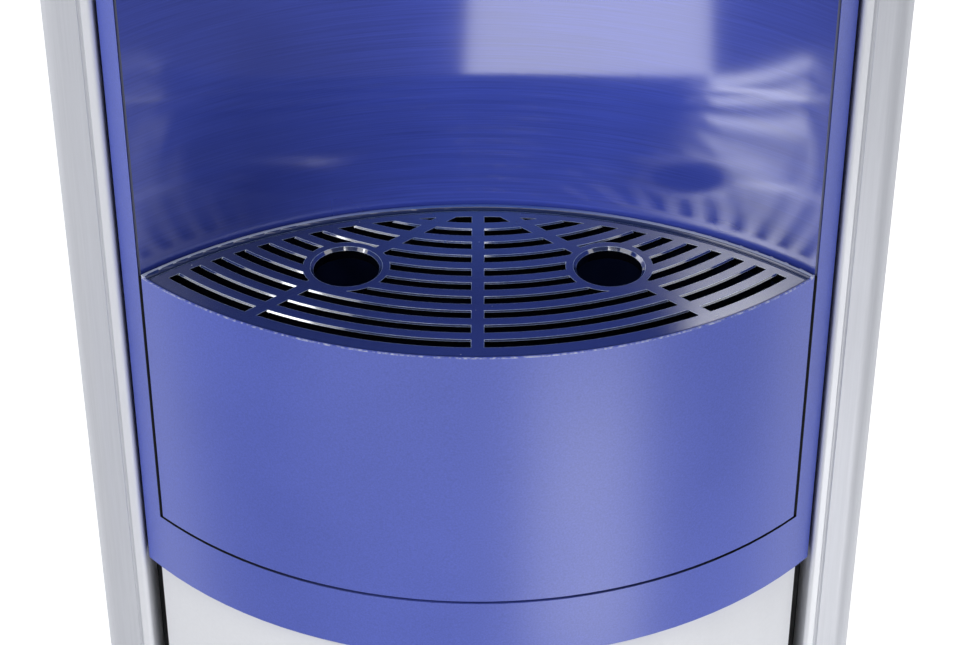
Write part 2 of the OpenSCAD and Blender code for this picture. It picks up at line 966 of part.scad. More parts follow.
module evaporator_jacket() {
  color([0.75, 0.5, 0.3])
    difference() {
      translate([0, bottle_y, cold_z + jacket_lift])
        cylinder(r = cold_r + slide_fit + jacket_t, h = jacket_h);
      translate([0, bottle_y, cold_z + jacket_lift - cut])
        cylinder(r = cold_r + slide_fit, h = jacket_h + 2 * cut);
      along_y(tap_x, tap_z, hose_r + hose_room, bottle_y - foam_out_r, bottle_y);
    }
}

module insulation() {
  color([0.95, 0.95, 0.93]) {
    difference() {
      translate([0, bottle_y, cold_foam_z])
        cylinder(r = foam_out_r, h = cold_top - cold_foam_z);
      translate([0, bottle_y, cold_z - fit])
        cylinder(r = foam_in_r, h = cold_h + cut);
      translate([feed_x, feed_y, cold_foam_z - cut])
        cylinder(r = hose_r + hose_room, h = foam_t + 2 * cut);
      along_y(tap_x, tap_z, hose_r + hose_room, bottle_y - foam_out_r - cut, bottle_y);
      niche_disc(niche_t + ceiling_over + fit, cold_foam_z - cut, cold_top + cut);
      pipe(hot_riser, hose_r + slide_fit);
      both_sides()
        along_y(tap_x, tap_z, nut_r + slide_fit, bottle_y - foam_out_r - cut, shank_end_y + fit);
      for (z = [evaporator_z, capillary_z]) {
        rod([-foam_out_r - cut, bottle_y, z], [-cold_r, bottle_y, z], line_r + hose_room);
      }
    }
    difference() {
      translate([0, hot_y, hot_z - hot_foam_t])
        cylinder(r = hot_foam_out_r, h = hot_h + 2 * hot_foam_t);
      translate([0, hot_y, hot_z - fit])
        cylinder(r = hot_foam_r, h = hot_h + 2 * fit);
      translate([feed_x, feed_y, hot_top - cut])
        cylinder(r = hose_r + hose_room, h = hot_foam_t + 2 * cut);
      translate([hot_out_x, hot_out_y, hot_top - cut])
        cylinder(r = hose_r + hose_room, h = hot_foam_t + 2 * cut);
      along_y(0, drain_z, drain_r + hose_room, hot_y, hot_y + hot_foam_out_r + cut);
      niche_disc(niche_t + shelf_over + fit, hot_z - hot_foam_t - cut, hot_top + hot_foam_t + cut);
    }
  }
}

module baffle() {
  color([0.92, 0.93, 0.94])
    difference() {
      translate([0, bottle_y, cold_z + baffle_lift]) {
        cylinder(r = cold_r - tank_t - slide_fit, h = baffle_t);
        translate([0, 0, -baffle_lift + tank_t + fit])
          cylinder(r = baffle_leg_r, h = baffle_lift);
      }
      translate([feed_x, feed_y, cold_z + baffle_lift - cut])
        cylinder(r = hose_r, h = baffle_t + 2 * cut);
    }
}

module hot_tank() {
  color([0.78, 0.79, 0.8])
    difference() {
      translate([0, hot_y, hot_z])
        cylinder(r = hot_r, h = hot_h);
      translate([0, hot_y, hot_z + tank_t])
        cylinder(r = hot_r - tank_t, h = hot_h - 2 * tank_t);
      translate([feed_x, feed_y, hot_top - tank_t - cut])
        cylinder(r = hose_bore, h = tank_t + 2 * cut);
      translate([hot_out_x, hot_out_y, hot_top - tank_t - cut])
        cylinder(r = hose_bore, h = tank_t + 2 * cut);
      along_y(0, drain_z, drain_bore, hot_y, hot_y + hot_r + cut);
    }
}

module heater_band() {
  color([0.65, 0.63, 0.58])
    difference() {
      translate([0, hot_y, hot_z + band_lift])
        cylinder(r = hot_r + slide_fit + band_t, h = band_h);
      translate([0, hot_y, hot_z + band_lift - cut])
        cylinder(r = hot_r + slide_fit, h = band_h + 2 * cut);
    }
}

module tap_hoses() {
  color([0.85, 0.85, 0.82]) {
    difference() {
      along_y(tap_x, tap_z, hose_r, shank_end_y + fit, bottle_y);
      along_y(tap_x, tap_z, hose_bore, shank_end_y, bottle_y + cut);
      translate([0, bottle_y, cold_z])
        cylinder(r = cold_r + slide_fit, h = cold_h);
    }
    pipe(
      concat([[hot_out_x, hot_out_y, hot_top + fit], [hot_out_x, hot_out_y, hot_rise_z]], hot_riser),
      hose_r
    );
  }
}

module feed_hose() {
  color([0.85, 0.85, 0.82])
    difference() {
      translate([feed_x, feed_y, hot_top + fit])
        cylinder(r = hose_r, h = cold_z - hot_top - 2 * fit);
      translate([feed_x, feed_y, hot_top])
        cylinder(r = hose_bore, h = cold_z - hot_top);
    }
}

module drain_spigot() {
  color([0.9, 0.9, 0.9])
    difference() {
      union() {
        along_y(0, drain_z, drain_r, hot_y, drain_end_y);
        along_y(0, drain_z, drain_r + drain_flange_w, back_y + fit, back_y + fit + drain_flange_t);
      }
      along_y(0, drain_z, drain_bore, hot_y, drain_end_y + cut);
      translate([0, hot_y, hot_z - cut])
        cylinder(r = hot_r + slide_fit, h = hot_h + 2 * cut);
    }
}

module drain_cap() {
  color([0.92, 0.92, 0.92])
    difference() {
      along_y(0, drain_z, cap_r, drain_end_y + slide_fit + cap_t - cap_len, drain_end_y + slide_fit + cap_t);
      along_y(0, drain_z, drain_r + run_fit, drain_end_y - cap_len, drain_end_y + slide_fit);
    }
}

module mains_inlet() {
  color([0.06, 0.06, 0.07]) {
    difference() {
      union() {
        translate([inlet_x - inlet_w / 2, back_y - inlet_depth, switch_z - inlet_h / 2])
          cube([inlet_w, inlet_depth + fit, inlet_h]);
        translate([inlet_x - inlet_w / 2 - inlet_rim, back_y + face_gap, switch_z - inlet_h / 2 - inlet_rim])
          cube([inlet_w + 2 * inlet_rim, bezel_t, inlet_h + 2 * inlet_rim]);
      }
      translate([inlet_x - socket_w / 2, bezel_y - socket_depth, switch_z - socket_h / 2])
        cube([socket_w, socket_depth + cut, socket_h]);
    }
    for (i = [-1 : 1]) {
      low = i == 0 ? 0 : -blade_h;
      translate([inlet_x + i * blade_pitch - blade_w / 2, bezel_y - socket_depth - cut, switch_z + low])
        cube([blade_w, blade_len + cut, blade_h]);
    }
  }
}

module switch_housings() {
  color([0.06, 0.06, 0.07])
    for (x = switch_places) {
      difference() {
        union() {
          translate([x - switch_w / 2, back_y - switch_depth, switch_z - switch_h / 2])
            cube([switch_w, switch_depth + fit, switch_h]);
          translate([x - switch_w / 2 - switch_rim, back_y + face_gap, switch_z - switch_h / 2 - switch_rim])
            cube([switch_w + 2 * switch_rim, bezel_t, switch_h + 2 * switch_rim]);
        }
        across(x, rocker_y, switch_z, rocker_r + slide_fit, rocker_w + 2 * slide_fit);
        across(x, rocker_y, switch_z, rocker_pivot_r + run_fit, rocker_w + 2 * rocker_pivot_len);
      }
    }
}

// Rocker whose lower half stands out
module rocker(x) {
  across(x, rocker_y, switch_z, rocker_pivot_r, rocker_w + 2 * (rocker_pivot_len - slide_fit));
  difference() {
    across(x, rocker_y, switch_z, rocker_r, rocker_w);
    for (side = [-1, 1]) {
      translate([x, rocker_y + rocker_face, switch_z])
        rotate([rocker_tilt - side * rocker_tilt, 0, 0])
          translate([-rocker_w, 0, side > 0 ? 0 : -4 * rocker_r])
            cube([2 * rocker_w, 2 * rocker_r, 4 * rocker_r]);
    }
  }
}

module heat_rocker() {
  color([0.75, 0.1, 0.1])
    rocker(switch_places[0]);
}

module cool_rocker() {
  color([0.1, 0.5, 0.2])
    rocker(switch_places[1]);
}

module control_board() {
  color([0.1, 0.35, 0.18])
    slab(board_hw, board_y, board_y + board_t, niche_top + ceiling_t + slide_fit, niche_top + board_h);
}

module indicator_lenses() {
  color([0.5, 0.75, 0.5])
    for (i = [-1 : 1]) {
      along_y(i * lens_pitch, lens_z, lens_r, front_at(i * lens_pitch + lens_r, 0) + fit, board_y - fit);
    }
}

module fascia() {
  edge_y = front_at(frame_hw, 0);
  color([0.37, 0.42, 0.73])
    difference() {
      union() {
        curved_plate(0, frame_t, frame_hw, frame_bottom, frame_top);
        intersection() {
          curved_plate(0, bottom_flange, frame_hw, frame_bottom, frame_bottom + frame_t);
          slab(frame_hw, front_y, liner_y - fit, frame_bottom, frame_bottom + frame_t);
        }
        both_sides()
          translate([frame_hw - frame_t, edge_y + frame_t / 2, frame_bottom])
            cube([frame_t, return_d, frame_top - frame_bottom]);
      }
      slab(chord, front_y - cut, tray_y + frame_t + 2 * cut, window_bottom, niche_top);
      translate([hinge_x, hinge_y, frame_bottom - cut])
        cylinder(r = pin_r + run_fit, h = frame_t + 2 * cut);
      for (i = [-1 : 1]) {
        along_y(i * lens_pitch, lens_z, lens_r + slide_fit, front_y - cut, board_y);
      }
    }
}

module niche_wall() {
  color([0.25, 0.3, 0.58])
    difference() {
      intersection() {
        niche_disc(niche_t, shelf_top + fit, niche_top - fit);
        slab(chord - fit, tray_y + tray_fit, niche_back_y + cut, shelf_top + fit, niche_top - fit);
      }
      niche_disc(0, shelf_top - cut, niche_top + cut);
      both_sides()
        along_y(tap_x, tap_z, shank_r + shank_room, tray_y, niche_back_y + cut);
    }
}

module niche_ceiling() {
  color([0.3, 0.35, 0.64])
    lens(
      frame_t + slide_fit, niche_t + ceiling_over, frame_hw - frame_t - slide_fit,
      niche_top, niche_top + ceiling_t
    );
}

module tray_shelf() {
  color([0.3, 0.35, 0.64])
    lens(frame_t + slide_fit, niche_t + shelf_over, frame_hw - frame_t - slide_fit, shelf_z, shelf_top);
}

module drip_tray() {
  bead_cr = niche_r - tray_fit - bead_r;
  half_angle = asin((chord - seam) / bead_cr);
  color([0.37, 0.42, 0.73]) {
    difference() {
      lens(0, -tray_fit, chord - seam, tray_bottom, tray_top_z);
      lens(tray_t + ledge_w, -tray_fit - tray_t - ledge_w, chord, tray_bottom + tray_t, tray_top_z + cut);
      lens(tray_t, -tray_fit - tray_t, chord, tray_bottom + tray_t, ledge_z - ledge_w);
      lens(rim_w, -tray_fit - bead_w, chord, ledge_z, tray_top_z + cut);
    }
    intersection() {
      translate([0, niche_cy, tray_top_z - bead_r / 4])
        rotate([0, 0, 90 - half_angle])
          rotate_extrude(angle = 2 * half_angle)
            translate([bead_cr, 0])
              circle(r = bead_r);
      lens(0, -tray_fit, chord - seam, tray_bottom, tray_top_z + 2 * bead_r);
    }
  }
}

// Ring-shaped cut of one slot row, with its upper edges chamfered
module slot_ring(row) {
  near = front_r - grid_front_border - row * slot_pitch;
  far = near - slot_w;
  c = grid_chamfer;
  translate([0, front_cy, 0])
    rotate_extrude()
      polygon([
        [far, grid_z - cut], [near, grid_z - cut], [near, grid_top - c], [near + c, grid_top],
        [near + c, grid_top + cut], [far - c, grid_top + cut], [far - c, grid_top], [far, grid_top - c]
      ]);
}

module drip_grid() {
  z0 = grid_z - 2 * cut;
  z1 = grid_top + 2 * cut;
  rear_edge = -tray_fit - bead_w - slide_fit;
  color([0.14, 0.17, 0.33])
    difference() {
      lens(rim_w + slide_fit, rear_edge, chord - seam - rim_w, grid_z, grid_top);
      difference() {
        intersection() {
          union() {
            for (row = [0 : slot_rows - 1]) {
              slot_ring(row);
            }
          }
          lens(0, -grid_rear_border, chord, z0, z1);
        }
        slab(spoke_w / 2, front_y, niche_back_y, z0, z1);
        both_sides() {
          translate([tap_x, tap_y, z0])
            rotate([0, 0, -spoke_angle])
              translate([-half_w, -spoke_w / 2, 0])
                cube([body_w, spoke_w, z1 - z0]);
          translate([tap_x, tap_y, z0])
            cylinder(r = hole_r + hole_ring, h = z1 - z0);
        }
      }
      both_sides()
        translate([tap_x, tap_y, 0]) {
          translate([0, 0, z0])
            cylinder(r = hole_r, h = z1 - z0);
          translate([0, 0, grid_top - 2 * grid_chamfer])
            cylinder(r1 = hole_r, r2 = hole_r + 3 * grid_chamfer, h = 3 * grid_chamfer);
        }
    }
}

module door_skin() {
  color([0.9, 0.9, 0.92])
    difference() {
      union() {
        difference() {
          curved_plate(door_set, door_t, door_hw, door_z, door_top);
          curved_plate(
            door_set + door_wall, door_t, door_hw - door_wall, door_z + door_wall, door_top - door_wall
          );
        }
        for (z = [door_z, door_top - hinge_boss_h]) {
          translate([hinge_x, hinge_y, z])
            cylinder(r = hinge_boss_r, h = hinge_boss_h);
        }
      }
      for (z = [door_z - cut, door_top - pin_len - cut]) {
        translate([hinge_x, hinge_y, z])
          cylinder(r = pin_r + run_fit, h = pin_len + 2 * cut);
      }
    }
}

module door_liner() {
  inset = door_set + door_t - door_liner_t;
  hw = door_hw - door_wall - slide_fit;
  color([0.85, 0.85, 0.87])
    curved_plate(inset, door_liner_t, hw, door_z + door_wall + fit, door_top - door_wall - fit);
}

module hinge_pins() {
  color([0.7, 0.7, 0.72]) {
    translate([hinge_x, hinge_y, plinth_top - pin_len + fit])
      cylinder(r = pin_r, h = door_sill + 2 * pin_len - pin_end);
    translate([hinge_x, hinge_y, door_top - pin_len + pin_end])
      cylinder(r = pin_r, h = door_head + frame_t + pin_len - pin_end);
  }
}

// Upright block beside the door's free edge
module catch_block(y0, y1) {
  translate([catch_x - catch_w / 2, y0, catch_z - catch_h / 2])
    cube([catch_w, y1 - y0, catch_h]);
}

module door_strike() {
  inset = door_set + door_t + face_gap;
  color([0.6, 0.6, 0.62])
    intersection() {
      curved_plate(inset, strike_t, door_hw, door_z, door_top);
      catch_block(front_y, liner_y);
    }
}

module door_magnet() {
  color([0.1, 0.1, 0.1])
    intersection() {
      front_disc(door_set + door_t + strike_t + magnet_gap, door_z, door_top);
      catch_block(front_y, liner_y + magnet_back);
    }
}

module cabinet_liner() {
  color([0.08, 0.08, 0.09]) {
    difference() {
      slab(liner_hw, liner_y, liner_back_y, liner_z, liner_top);
      slab(liner_hw - liner_t, liner_y - cut, liner_back_y - liner_t, liner_z + liner_t, liner_top - liner_t);
    }
    both_sides()
      translate([liner_hw - liner_t, liner_y, liner_z])
        cube([pillar_x - liner_hw + liner_t - slide_fit, liner_t, frame_bottom - fit - liner_z]);
  }
}

// Plan of the cover: one arc through the bulge of the front and the pillars' outer edges
module cover_plan(inset) {
  sag = pillar_y + pillar_edge_r - front_y;
  arc_r = (half_w * half_w + sag * sag) / (2 * sag);
  intersection() {
    translate([-half_w + inset, front_y])
      square([body_w - 2 * inset, back_y - front_y - inset]);
    translate([0, front_y + arc_r])
      circle(r = arc_r - inset, $fn = disc_fn);
  }
}

module top_cover() {
  color([0.9, 0.9, 0.92])
    difference() {
      union() {
        translate([0, 0, cover_z])
          linear_extrude(cover_t)
            cover_plan(0);
        translate([0, bottle_y, cover_top - cut])
          cylinder(r = rim_r + rim_t, h = rim_h + cut);
      }
      translate([0, 0, cover_z - cut])
        linear_extrude(well_floor_z - well_floor_t - cover_z + cut)
          cover_plan(cover_wall);
      translate([0, bottle_y, well_floor_z])
        cylinder(r = rim_r - rim_seat, h = body_h);
      translate([0, bottle_y, cover_top + rim_flare])
        cylinder(r1 = rim_r - rim_seat, r2 = rim_r + rim_lead, h = rim_h);
      translate([0, bottle_y, cover_z])
        cylinder(r = well_hole_r, h = cover_t);
    }
}

module bottle_collar() {
  lip_z = well_floor_z + fit;
  color([0.25, 0.32, 0.62])
    difference() {
      translate([0, bottle_y, 0]) {
        translate([0, 0, collar_z])
          cylinder(r = collar_r, h = lip_z - collar_z + collar_lip_t);
        translate([0, 0, lip_z])
          cylinder(r = collar_lip_r, h = collar_lip_t);
      }
      translate([0, bottle_y, collar_z + collar_t])
        cylinder(r = collar_r - collar_t, h = body_h);
      translate([0, bottle_y, collar_z - cut])
        cylinder(r = collar_hole_r, h = collar_t + 2 * cut);
    }
}

module feed_spike() {
  z0 = collar_z + collar_t + fit;
  color([0.93, 0.93, 0.94])
    difference() {
      translate([0, bottle_y, z0]) {
        cylinder(r = spike_flange_r, h = spike_flange_t);
        cylinder(r = spike_r, h = spike_len);
        translate([0, 0, spike_len])
          cylinder(r1 = spike_r, r2 = spike_tip_r, h = spike_tip_h);
      }
      translate([0, bottle_y, z0 - cut])
        cylinder(r = spike_bore, h = spike_len);
      across(0, bottle_y, z0 + spike_flange_t + spike_port_rise, spike_port_r, 4 * spike_r);
    }
}

module tap_body(x) {
  difference() {
    union() {
      translate([x, tap_y, tap_body_z])
        cylinder(r = tap_r, h = tap_body_top - tap_body_z);
      translate([x, tap_y, spout_z])
        cylinder(r = spout_r, h = spout_len + cut);
      along_y(x, tap_z, shank_r, tap_y, shank_end_y);
      along_y(x, tap_z, tap_flange_r, gasket_y - fit - flange_t, gasket_y - fit);
    }
    translate([x, tap_y, spout_z - cut])
      cylinder(r = spout_bore, h = spout_len + tap_low);
    translate([x, tap_y, tap_body_z + valve_floor])
      cylinder(r = valve_r, h = tap_body_top - tap_body_z);
    along_y(x, tap_z, shank_bore, tap_y, shank_end_y + cut);
  }
}

module hot_tap_body() {
  color([0.86, 0.87, 0.89])
    tap_body(-tap_x);
}

module cold_tap_body() {
  color([0.86, 0.87, 0.89])
    tap_body(tap_x);
}

// Cap over the tap body, with the slot that the lever swings in and its pin
module tap_bonnet(x) {
  difference() {
    translate([x, tap_y, bonnet_z])
      cylinder(r = bonnet_r, h = bonnet_h);
    translate([x - lever_slot / 2, tap_y - 2 * bonnet_r, bonnet_z + bonnet_floor])
      cube([lever_slot, 2 * bonnet_r + lever_tail - lever_offset + lever_tail_room, bonnet_h]);
    translate([x, tap_y, bonnet_z - cut])
      cylinder(r = stem_r + slide_fit, h = bonnet_h);
  }
  across(x, lever_pin_y, lever_pin_z, lever_pin_r, lever_slot + 2 * cut);
}

module tap_bonnets() {
  color([0.8, 0.81, 0.83]) {
    tap_bonnet(-tap_x);
    tap_bonnet(tap_x);
  }
}

// Lever: barrel on the pin, tail under the stem's head and a paddle in front
module tap_lever(x) {
  barrel_w = lever_slot - 2 * slide_fit;
  front = lever_pin_y - lever_len;
  top = lever_pin_z + lever_rise;
  difference() {
    union() {
      across(x, lever_pin_y, lever_pin_z, lever_barrel_r, barrel_w);
      translate([x - barrel_w / 2, lever_pin_y, lever_pin_z - lever_t / 2])
        cube([barrel_w, lever_tail, lever_t]);
      translate([x - barrel_w / 2, 0, 0])
        rotate([90, 0, 90])
          linear_extrude(barrel_w)
            polygon([
              [lever_pin_y, lever_pin_z - lever_t / 2], [lever_pin_y, lever_pin_z + lever_barrel_r],
              [front + arm_reach, top], [front + arm_reach - arm_lean, top - lever_t]
            ]);
      translate([x - lever_w / 2, 0, 0])
        rotate([90, 0, 90])
          linear_extrude(lever_w)
            polygon([
              [front + paddle_len, top - paddle_lean - lever_t], [front + paddle_len - paddle_lean, top],
              [front, top + paddle_rise], [front, top + paddle_rise - lever_t]
            ]);
    }
    across(x, lever_pin_y, lever_pin_z, lever_pin_r + run_fit, 4 * lever_slot);
    translate([x - stem_r - slide_fit, tap_y - stem_r - stem_room, lever_pin_z - lever_t])
      cube([2 * (stem_r + slide_fit), lever_tail, 2 * lever_t]);
  }
}

module hot_tap_lever() {
  color([0.75, 0.12, 0.12])
    tap_lever(-tap_x);
}

module cold_tap_lever() {
  color([0.15, 0.3, 0.75])
    tap_lever(tap_x);
}

// Stem with its head above the lever's tail
module tap_stem(x) {
  low = tap_body_z + valve_floor + plug_h / 2;
  head = lever_pin_z + lever_t / 2 + stem_play;
  translate([x, tap_y, low])
    cylinder(r = stem_r, h = head - low);
  translate([x, tap_y, head])
    cylinder(r = stem_head_r, h = stem_head_t);
}

module hot_tap_stem() {
  color([0.75, 0.76, 0.78])
    tap_stem(-tap_x);
}

module cold_tap_stem() {
  color([0.75, 0.76, 0.78])
    tap_stem(tap_x);
}

// Silicone plug with its neck and the rim clamped under the bonnet
module tap_seal(x) {
  z0 = tap_body_z + valve_floor + slide_fit;
  difference() {
    union() {
      translate([x, tap_y, z0])
        cylinder(r = plug_r, h = plug_h);
      translate([x, tap_y, z0])
        cylinder(r = seal_neck_r, h = tap_body_top - z0 + cut);
      translate([x, tap_y, tap_body_top + fit / 2])
        cylinder(r = tap_r, h = seal_flange_t);
    }
    translate([x, tap_y, tap_body_z + valve_floor + plug_h / 2 - fit])
      cylinder(r = stem_r + fit, h = tap_body_top);
  }
}

module hot_tap_seal() {
  color([0.9, 0.88, 0.85])
    tap_seal(-tap_x);
}

module cold_tap_seal() {
  color([0.9, 0.88, 0.85])
    tap_seal(tap_x);
}

module tap_nuts() {
  color([0.3, 0.3, 0.32])
    both_sides()
      difference() {
        translate([tap_x, nut_y, tap_z])
          rotate([-90, 0, 0])
            cylinder(r = nut_r, h = nut_t, $fn = 6);
        along_y(tap_x, tap_z, shank_r + run_fit, nut_y - cut, nut_y + nut_t + cut);
      }
}

module tap_gaskets() {
  color([0.1, 0.1, 0.11])
    both_sides()
      difference() {
        intersection() {
          along_y(tap_x, tap_z, gasket_r, gasket_y, niche_back_y);
          niche_disc(-fit, tap_z - 2 * gasket_r, tap_z + 2 * gasket_r);
        }
        along_y(tap_x, tap_z, shank_r + fit, gasket_y - cut, niche_back_y + cut);
      }
}

base_pan();
feet();
pillar_left();
pillar_right();
pillar_seals();
side_panel_left();
side_panel_right();
rear_panel();
rear_screws();
condenser_tube();
condenser_wires();
condenser_brackets();
compressor();
compressor_grommets();
filter_drier();
refrigerant_lines();
mid_deck();
tank_deck();
cold_tank();
evaporator_jacket();
insulation();
baffle();
hot_tank();
heater_band();
tap_hoses();
feed_hose();
drain_spigot();
drain_cap();
mains_inlet();
switch_housings();
heat_rocker();
cool_rocker();
control_board();
indicator_lenses();
fascia();
niche_wall();
niche_ceiling();
tray_shelf();
drip_tray();
drip_grid();
door_skin();
door_liner();
hinge_pins();
door_strike();
door_magnet();
cabinet_liner();
top_cover();
bottle_collar();
feed_spike();
hot_tap_body();
cold_tap_body();
hot_tap_lever();
cold_tap_lever();
hot_tap_stem();
cold_tap_stem();
hot_tap_seal();
cold_tap_seal();
tap_bonnets();
tap_nuts();
tap_gaskets();
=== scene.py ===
# Looks of a free-standing water cooler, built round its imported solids.
# Metres. The front faces -Y, +Z is up, and the origin is on the floor under the middle of the body.
import json
import math

import bmesh
import bpy
from mathutils import Matrix, Vector


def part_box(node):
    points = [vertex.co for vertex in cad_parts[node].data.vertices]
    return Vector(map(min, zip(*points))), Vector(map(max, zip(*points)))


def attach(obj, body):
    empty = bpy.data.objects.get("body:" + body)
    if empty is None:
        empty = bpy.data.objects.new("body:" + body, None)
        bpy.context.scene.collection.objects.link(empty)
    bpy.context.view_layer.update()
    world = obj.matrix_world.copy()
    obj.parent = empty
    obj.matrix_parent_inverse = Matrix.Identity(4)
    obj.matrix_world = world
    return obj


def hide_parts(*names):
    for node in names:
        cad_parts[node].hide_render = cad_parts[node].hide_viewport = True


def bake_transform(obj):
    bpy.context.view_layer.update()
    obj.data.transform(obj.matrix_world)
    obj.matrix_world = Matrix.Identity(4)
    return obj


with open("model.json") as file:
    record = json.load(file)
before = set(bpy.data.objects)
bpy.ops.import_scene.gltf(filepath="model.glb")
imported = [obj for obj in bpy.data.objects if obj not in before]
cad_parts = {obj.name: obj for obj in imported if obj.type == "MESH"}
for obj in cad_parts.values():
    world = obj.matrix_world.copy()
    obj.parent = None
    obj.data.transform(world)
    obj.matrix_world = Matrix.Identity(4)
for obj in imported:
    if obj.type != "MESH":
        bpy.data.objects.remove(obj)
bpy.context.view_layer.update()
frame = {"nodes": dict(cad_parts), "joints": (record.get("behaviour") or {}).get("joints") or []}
nodes = frame["nodes"]
MM = 0.001


# Shader helpers

# Range in which most values of a noise lie
NOISE_LOW = 0.3
NOISE_HIGH = 0.7
EVEN = (1.0, 1.0, 1.0)
# Colour sockets of a Mix node, which shares their names with its other sockets
MIX_FIRST = 6
MIX_SECOND = 7
MIX_RESULT = 2


def opened(material):
    """Node tree of a material and its surface node"""
    tree = material.node_tree
    return tree, tree.nodes["Principled BSDF"]


def new_material(name, color, roughness, metallic=0.0, **sockets):
    """Principled material; returns it with its node tree and its surface node"""
    material = bpy.data.materials.new(name)
    material.use_nodes = True
    tree, surface = opened(material)
    surface.inputs["Base Color"].default_value = (*color, 1.0)
    surface.inputs["Roughness"].default_value = roughness
    surface.inputs["Metallic"].default_value = metallic
    for socket, value in sockets.items():
        surface.inputs[socket.replace("_", " ")].default_value = value
    return material, tree, surface


def part_coords(tree, stretch=EVEN):
    """Coordinates of the part in metres, stretched along its axes"""
    coords = tree.nodes.new("ShaderNodeTexCoord")
    mapping = tree.nodes.new("ShaderNodeMapping")
    mapping.inputs["Scale"].default_value = stretch
    tree.links.new(coords.outputs["Object"], mapping.inputs["Vector"])
    return mapping.outputs["Vector"]


def part_axis(tree, axis):
    """One coordinate of the part, in metres"""
    place = tree.nodes.new("ShaderNodeSeparateXYZ")
    tree.links.new(part_coords(tree), place.inputs["Vector"])
    return place.outputs[axis]


def noise(tree, scale, detail=3.0, stretch=EVEN):
    """Noise in the part's own frame, about 0 to 1"""
    texture = tree.nodes.new("ShaderNodeTexNoise")
    texture.inputs["Scale"].default_value = scale
    texture.inputs["Detail"].default_value = detail
    tree.links.new(part_coords(tree, stretch), texture.inputs["Vector"])
    return texture.outputs["Fac"]


def remap(tree, value, low, high, start=NOISE_LOW, end=NOISE_HIGH):
    """Value moved from the range start to end into the range low to high"""
    ranger = tree.nodes.new("ShaderNodeMapRange")
    limits = {"From Min": start, "From Max": end, "To Min": low, "To Max": high}
    for socket, number in limits.items():
        ranger.inputs[socket].default_value = number
    tree.links.new(value, ranger.inputs["Value"])
    return ranger.outputs["Result"]


def math_node(tree, operation, first, second=0.0):
    """Math node of one or two values, each a socket or a number"""
    step = tree.nodes.new("ShaderNodeMath")
    step.operation = operation
    for socket, value in zip(step.inputs, (first, second)):
        if isinstance(value, (int, float)):
            socket.default_value = value
        else:
            tree.links.new(value, socket)
    return step.outputs["Value"]


def above(tree, value, limit):
    """Mask of the places where a value is over a limit"""
    return math_node(tree, "GREATER_THAN", value, limit)


def below(tree, value, limit):
    """Mask of the places where a value is under a limit"""
    return math_node(tree, "LESS_THAN", value, limit)


def both(tree, first, second):
    """Mask where two masks meet"""
    return math_node(tree, "MULTIPLY", first, second)


def off_middle(tree, middle=0.0):
    """Distance to either side of an upright plane through the part"""
    across = math_node(tree, "SUBTRACT", part_axis(tree, "X"), middle)
    return math_node(tree, "ABSOLUTE", across)


def axis_distance(tree, axis_y):
    """Distance from an upright axis in the part's middle plane"""
    across = math_node(tree, "POWER", part_axis(tree, "X"), 2.0)
    along = math_node(tree, "SUBTRACT", part_axis(tree, "Y"), axis_y)
    square = math_node(tree, "ADD", across, math_node(tree, "POWER", along, 2.0))
    return math_node(tree, "SQRT", square)


def mix_colors(tree, factor, first, second):
    """Colour between two, each a socket or a colour"""
    mixer = tree.nodes.new("ShaderNodeMix")
    mixer.data_type = "RGBA"
    tree.links.new(factor, mixer.inputs["Factor"])
    for index, value in ((MIX_FIRST, first), (MIX_SECOND, second)):
        if isinstance(value, tuple):
            mixer.inputs[index].default_value = (*value, 1.0)
        else:
            tree.links.new(value, mixer.inputs[index])
    return mixer.outputs[MIX_RESULT]


def shade(color, factor):
    """Colour made lighter or darker"""
    return tuple(channel * factor for channel in color)


def feed(surface, socket):
    """Output that feeds a socket of the surface"""
    return surface.inputs[socket].links[0].from_socket


def paint_over(tree, surface, mask, color):
    """Lays a colour over the surface where the mask says"""
    shown = mix_colors(tree, mask, feed(surface, "Base Color"), color)
    tree.links.new(shown, surface.inputs["Base Color"])


def scale_color(tree, surface, factor):
    """Makes the surface's colour lighter or darker by a value"""
    step = tree.nodes.new("ShaderNodeVectorMath")
    step.operation = "SCALE"
    tree.links.new(feed(surface, "Base Color"), step.inputs[0])
    tree.links.new(factor, step.inputs["Scale"])
    tree.links.new(step.outputs["Vector"], surface.inputs["Base Color"])


def change_roughness(tree, surface, operation, value):
    """Changes the surface's roughness by a math operation with a value"""
    rough = math_node(tree, operation, feed(surface, "Roughness"), value)
    tree.links.new(rough, surface.inputs["Roughness"])


def soft_normal(tree, radius, samples):
    """Normal that turns gently over edges, within the given radius"""
    soft = tree.nodes.new("ShaderNodeBevel")
    soft.samples = samples
    soft.inputs["Radius"].default_value = radius
    return soft.outputs["Normal"]


SOFT_EDGE_SAMPLES = 4


def set_bump(tree, surface, height, distance, edge):
    """Relief of the given depth in metres, over edges softened by the given width"""
    bump = tree.nodes.new("ShaderNodeBump")
    bump.inputs["Distance"].default_value = distance
    tree.links.new(height, bump.inputs["Height"])
    if edge:
        tree.links.new(soft_normal(tree, edge, SOFT_EDGE_SAMPLES), bump.inputs["Normal"])
    tree.links.new(bump.outputs["Normal"], surface.inputs["Normal"])


# Shares of the fine and the coarse noise in the colour, and how uneven the gloss is
GRAIN_SHARE = 0.6
CLOUD_SHARE = 0.4
GLOSS_SPREAD = 0.12


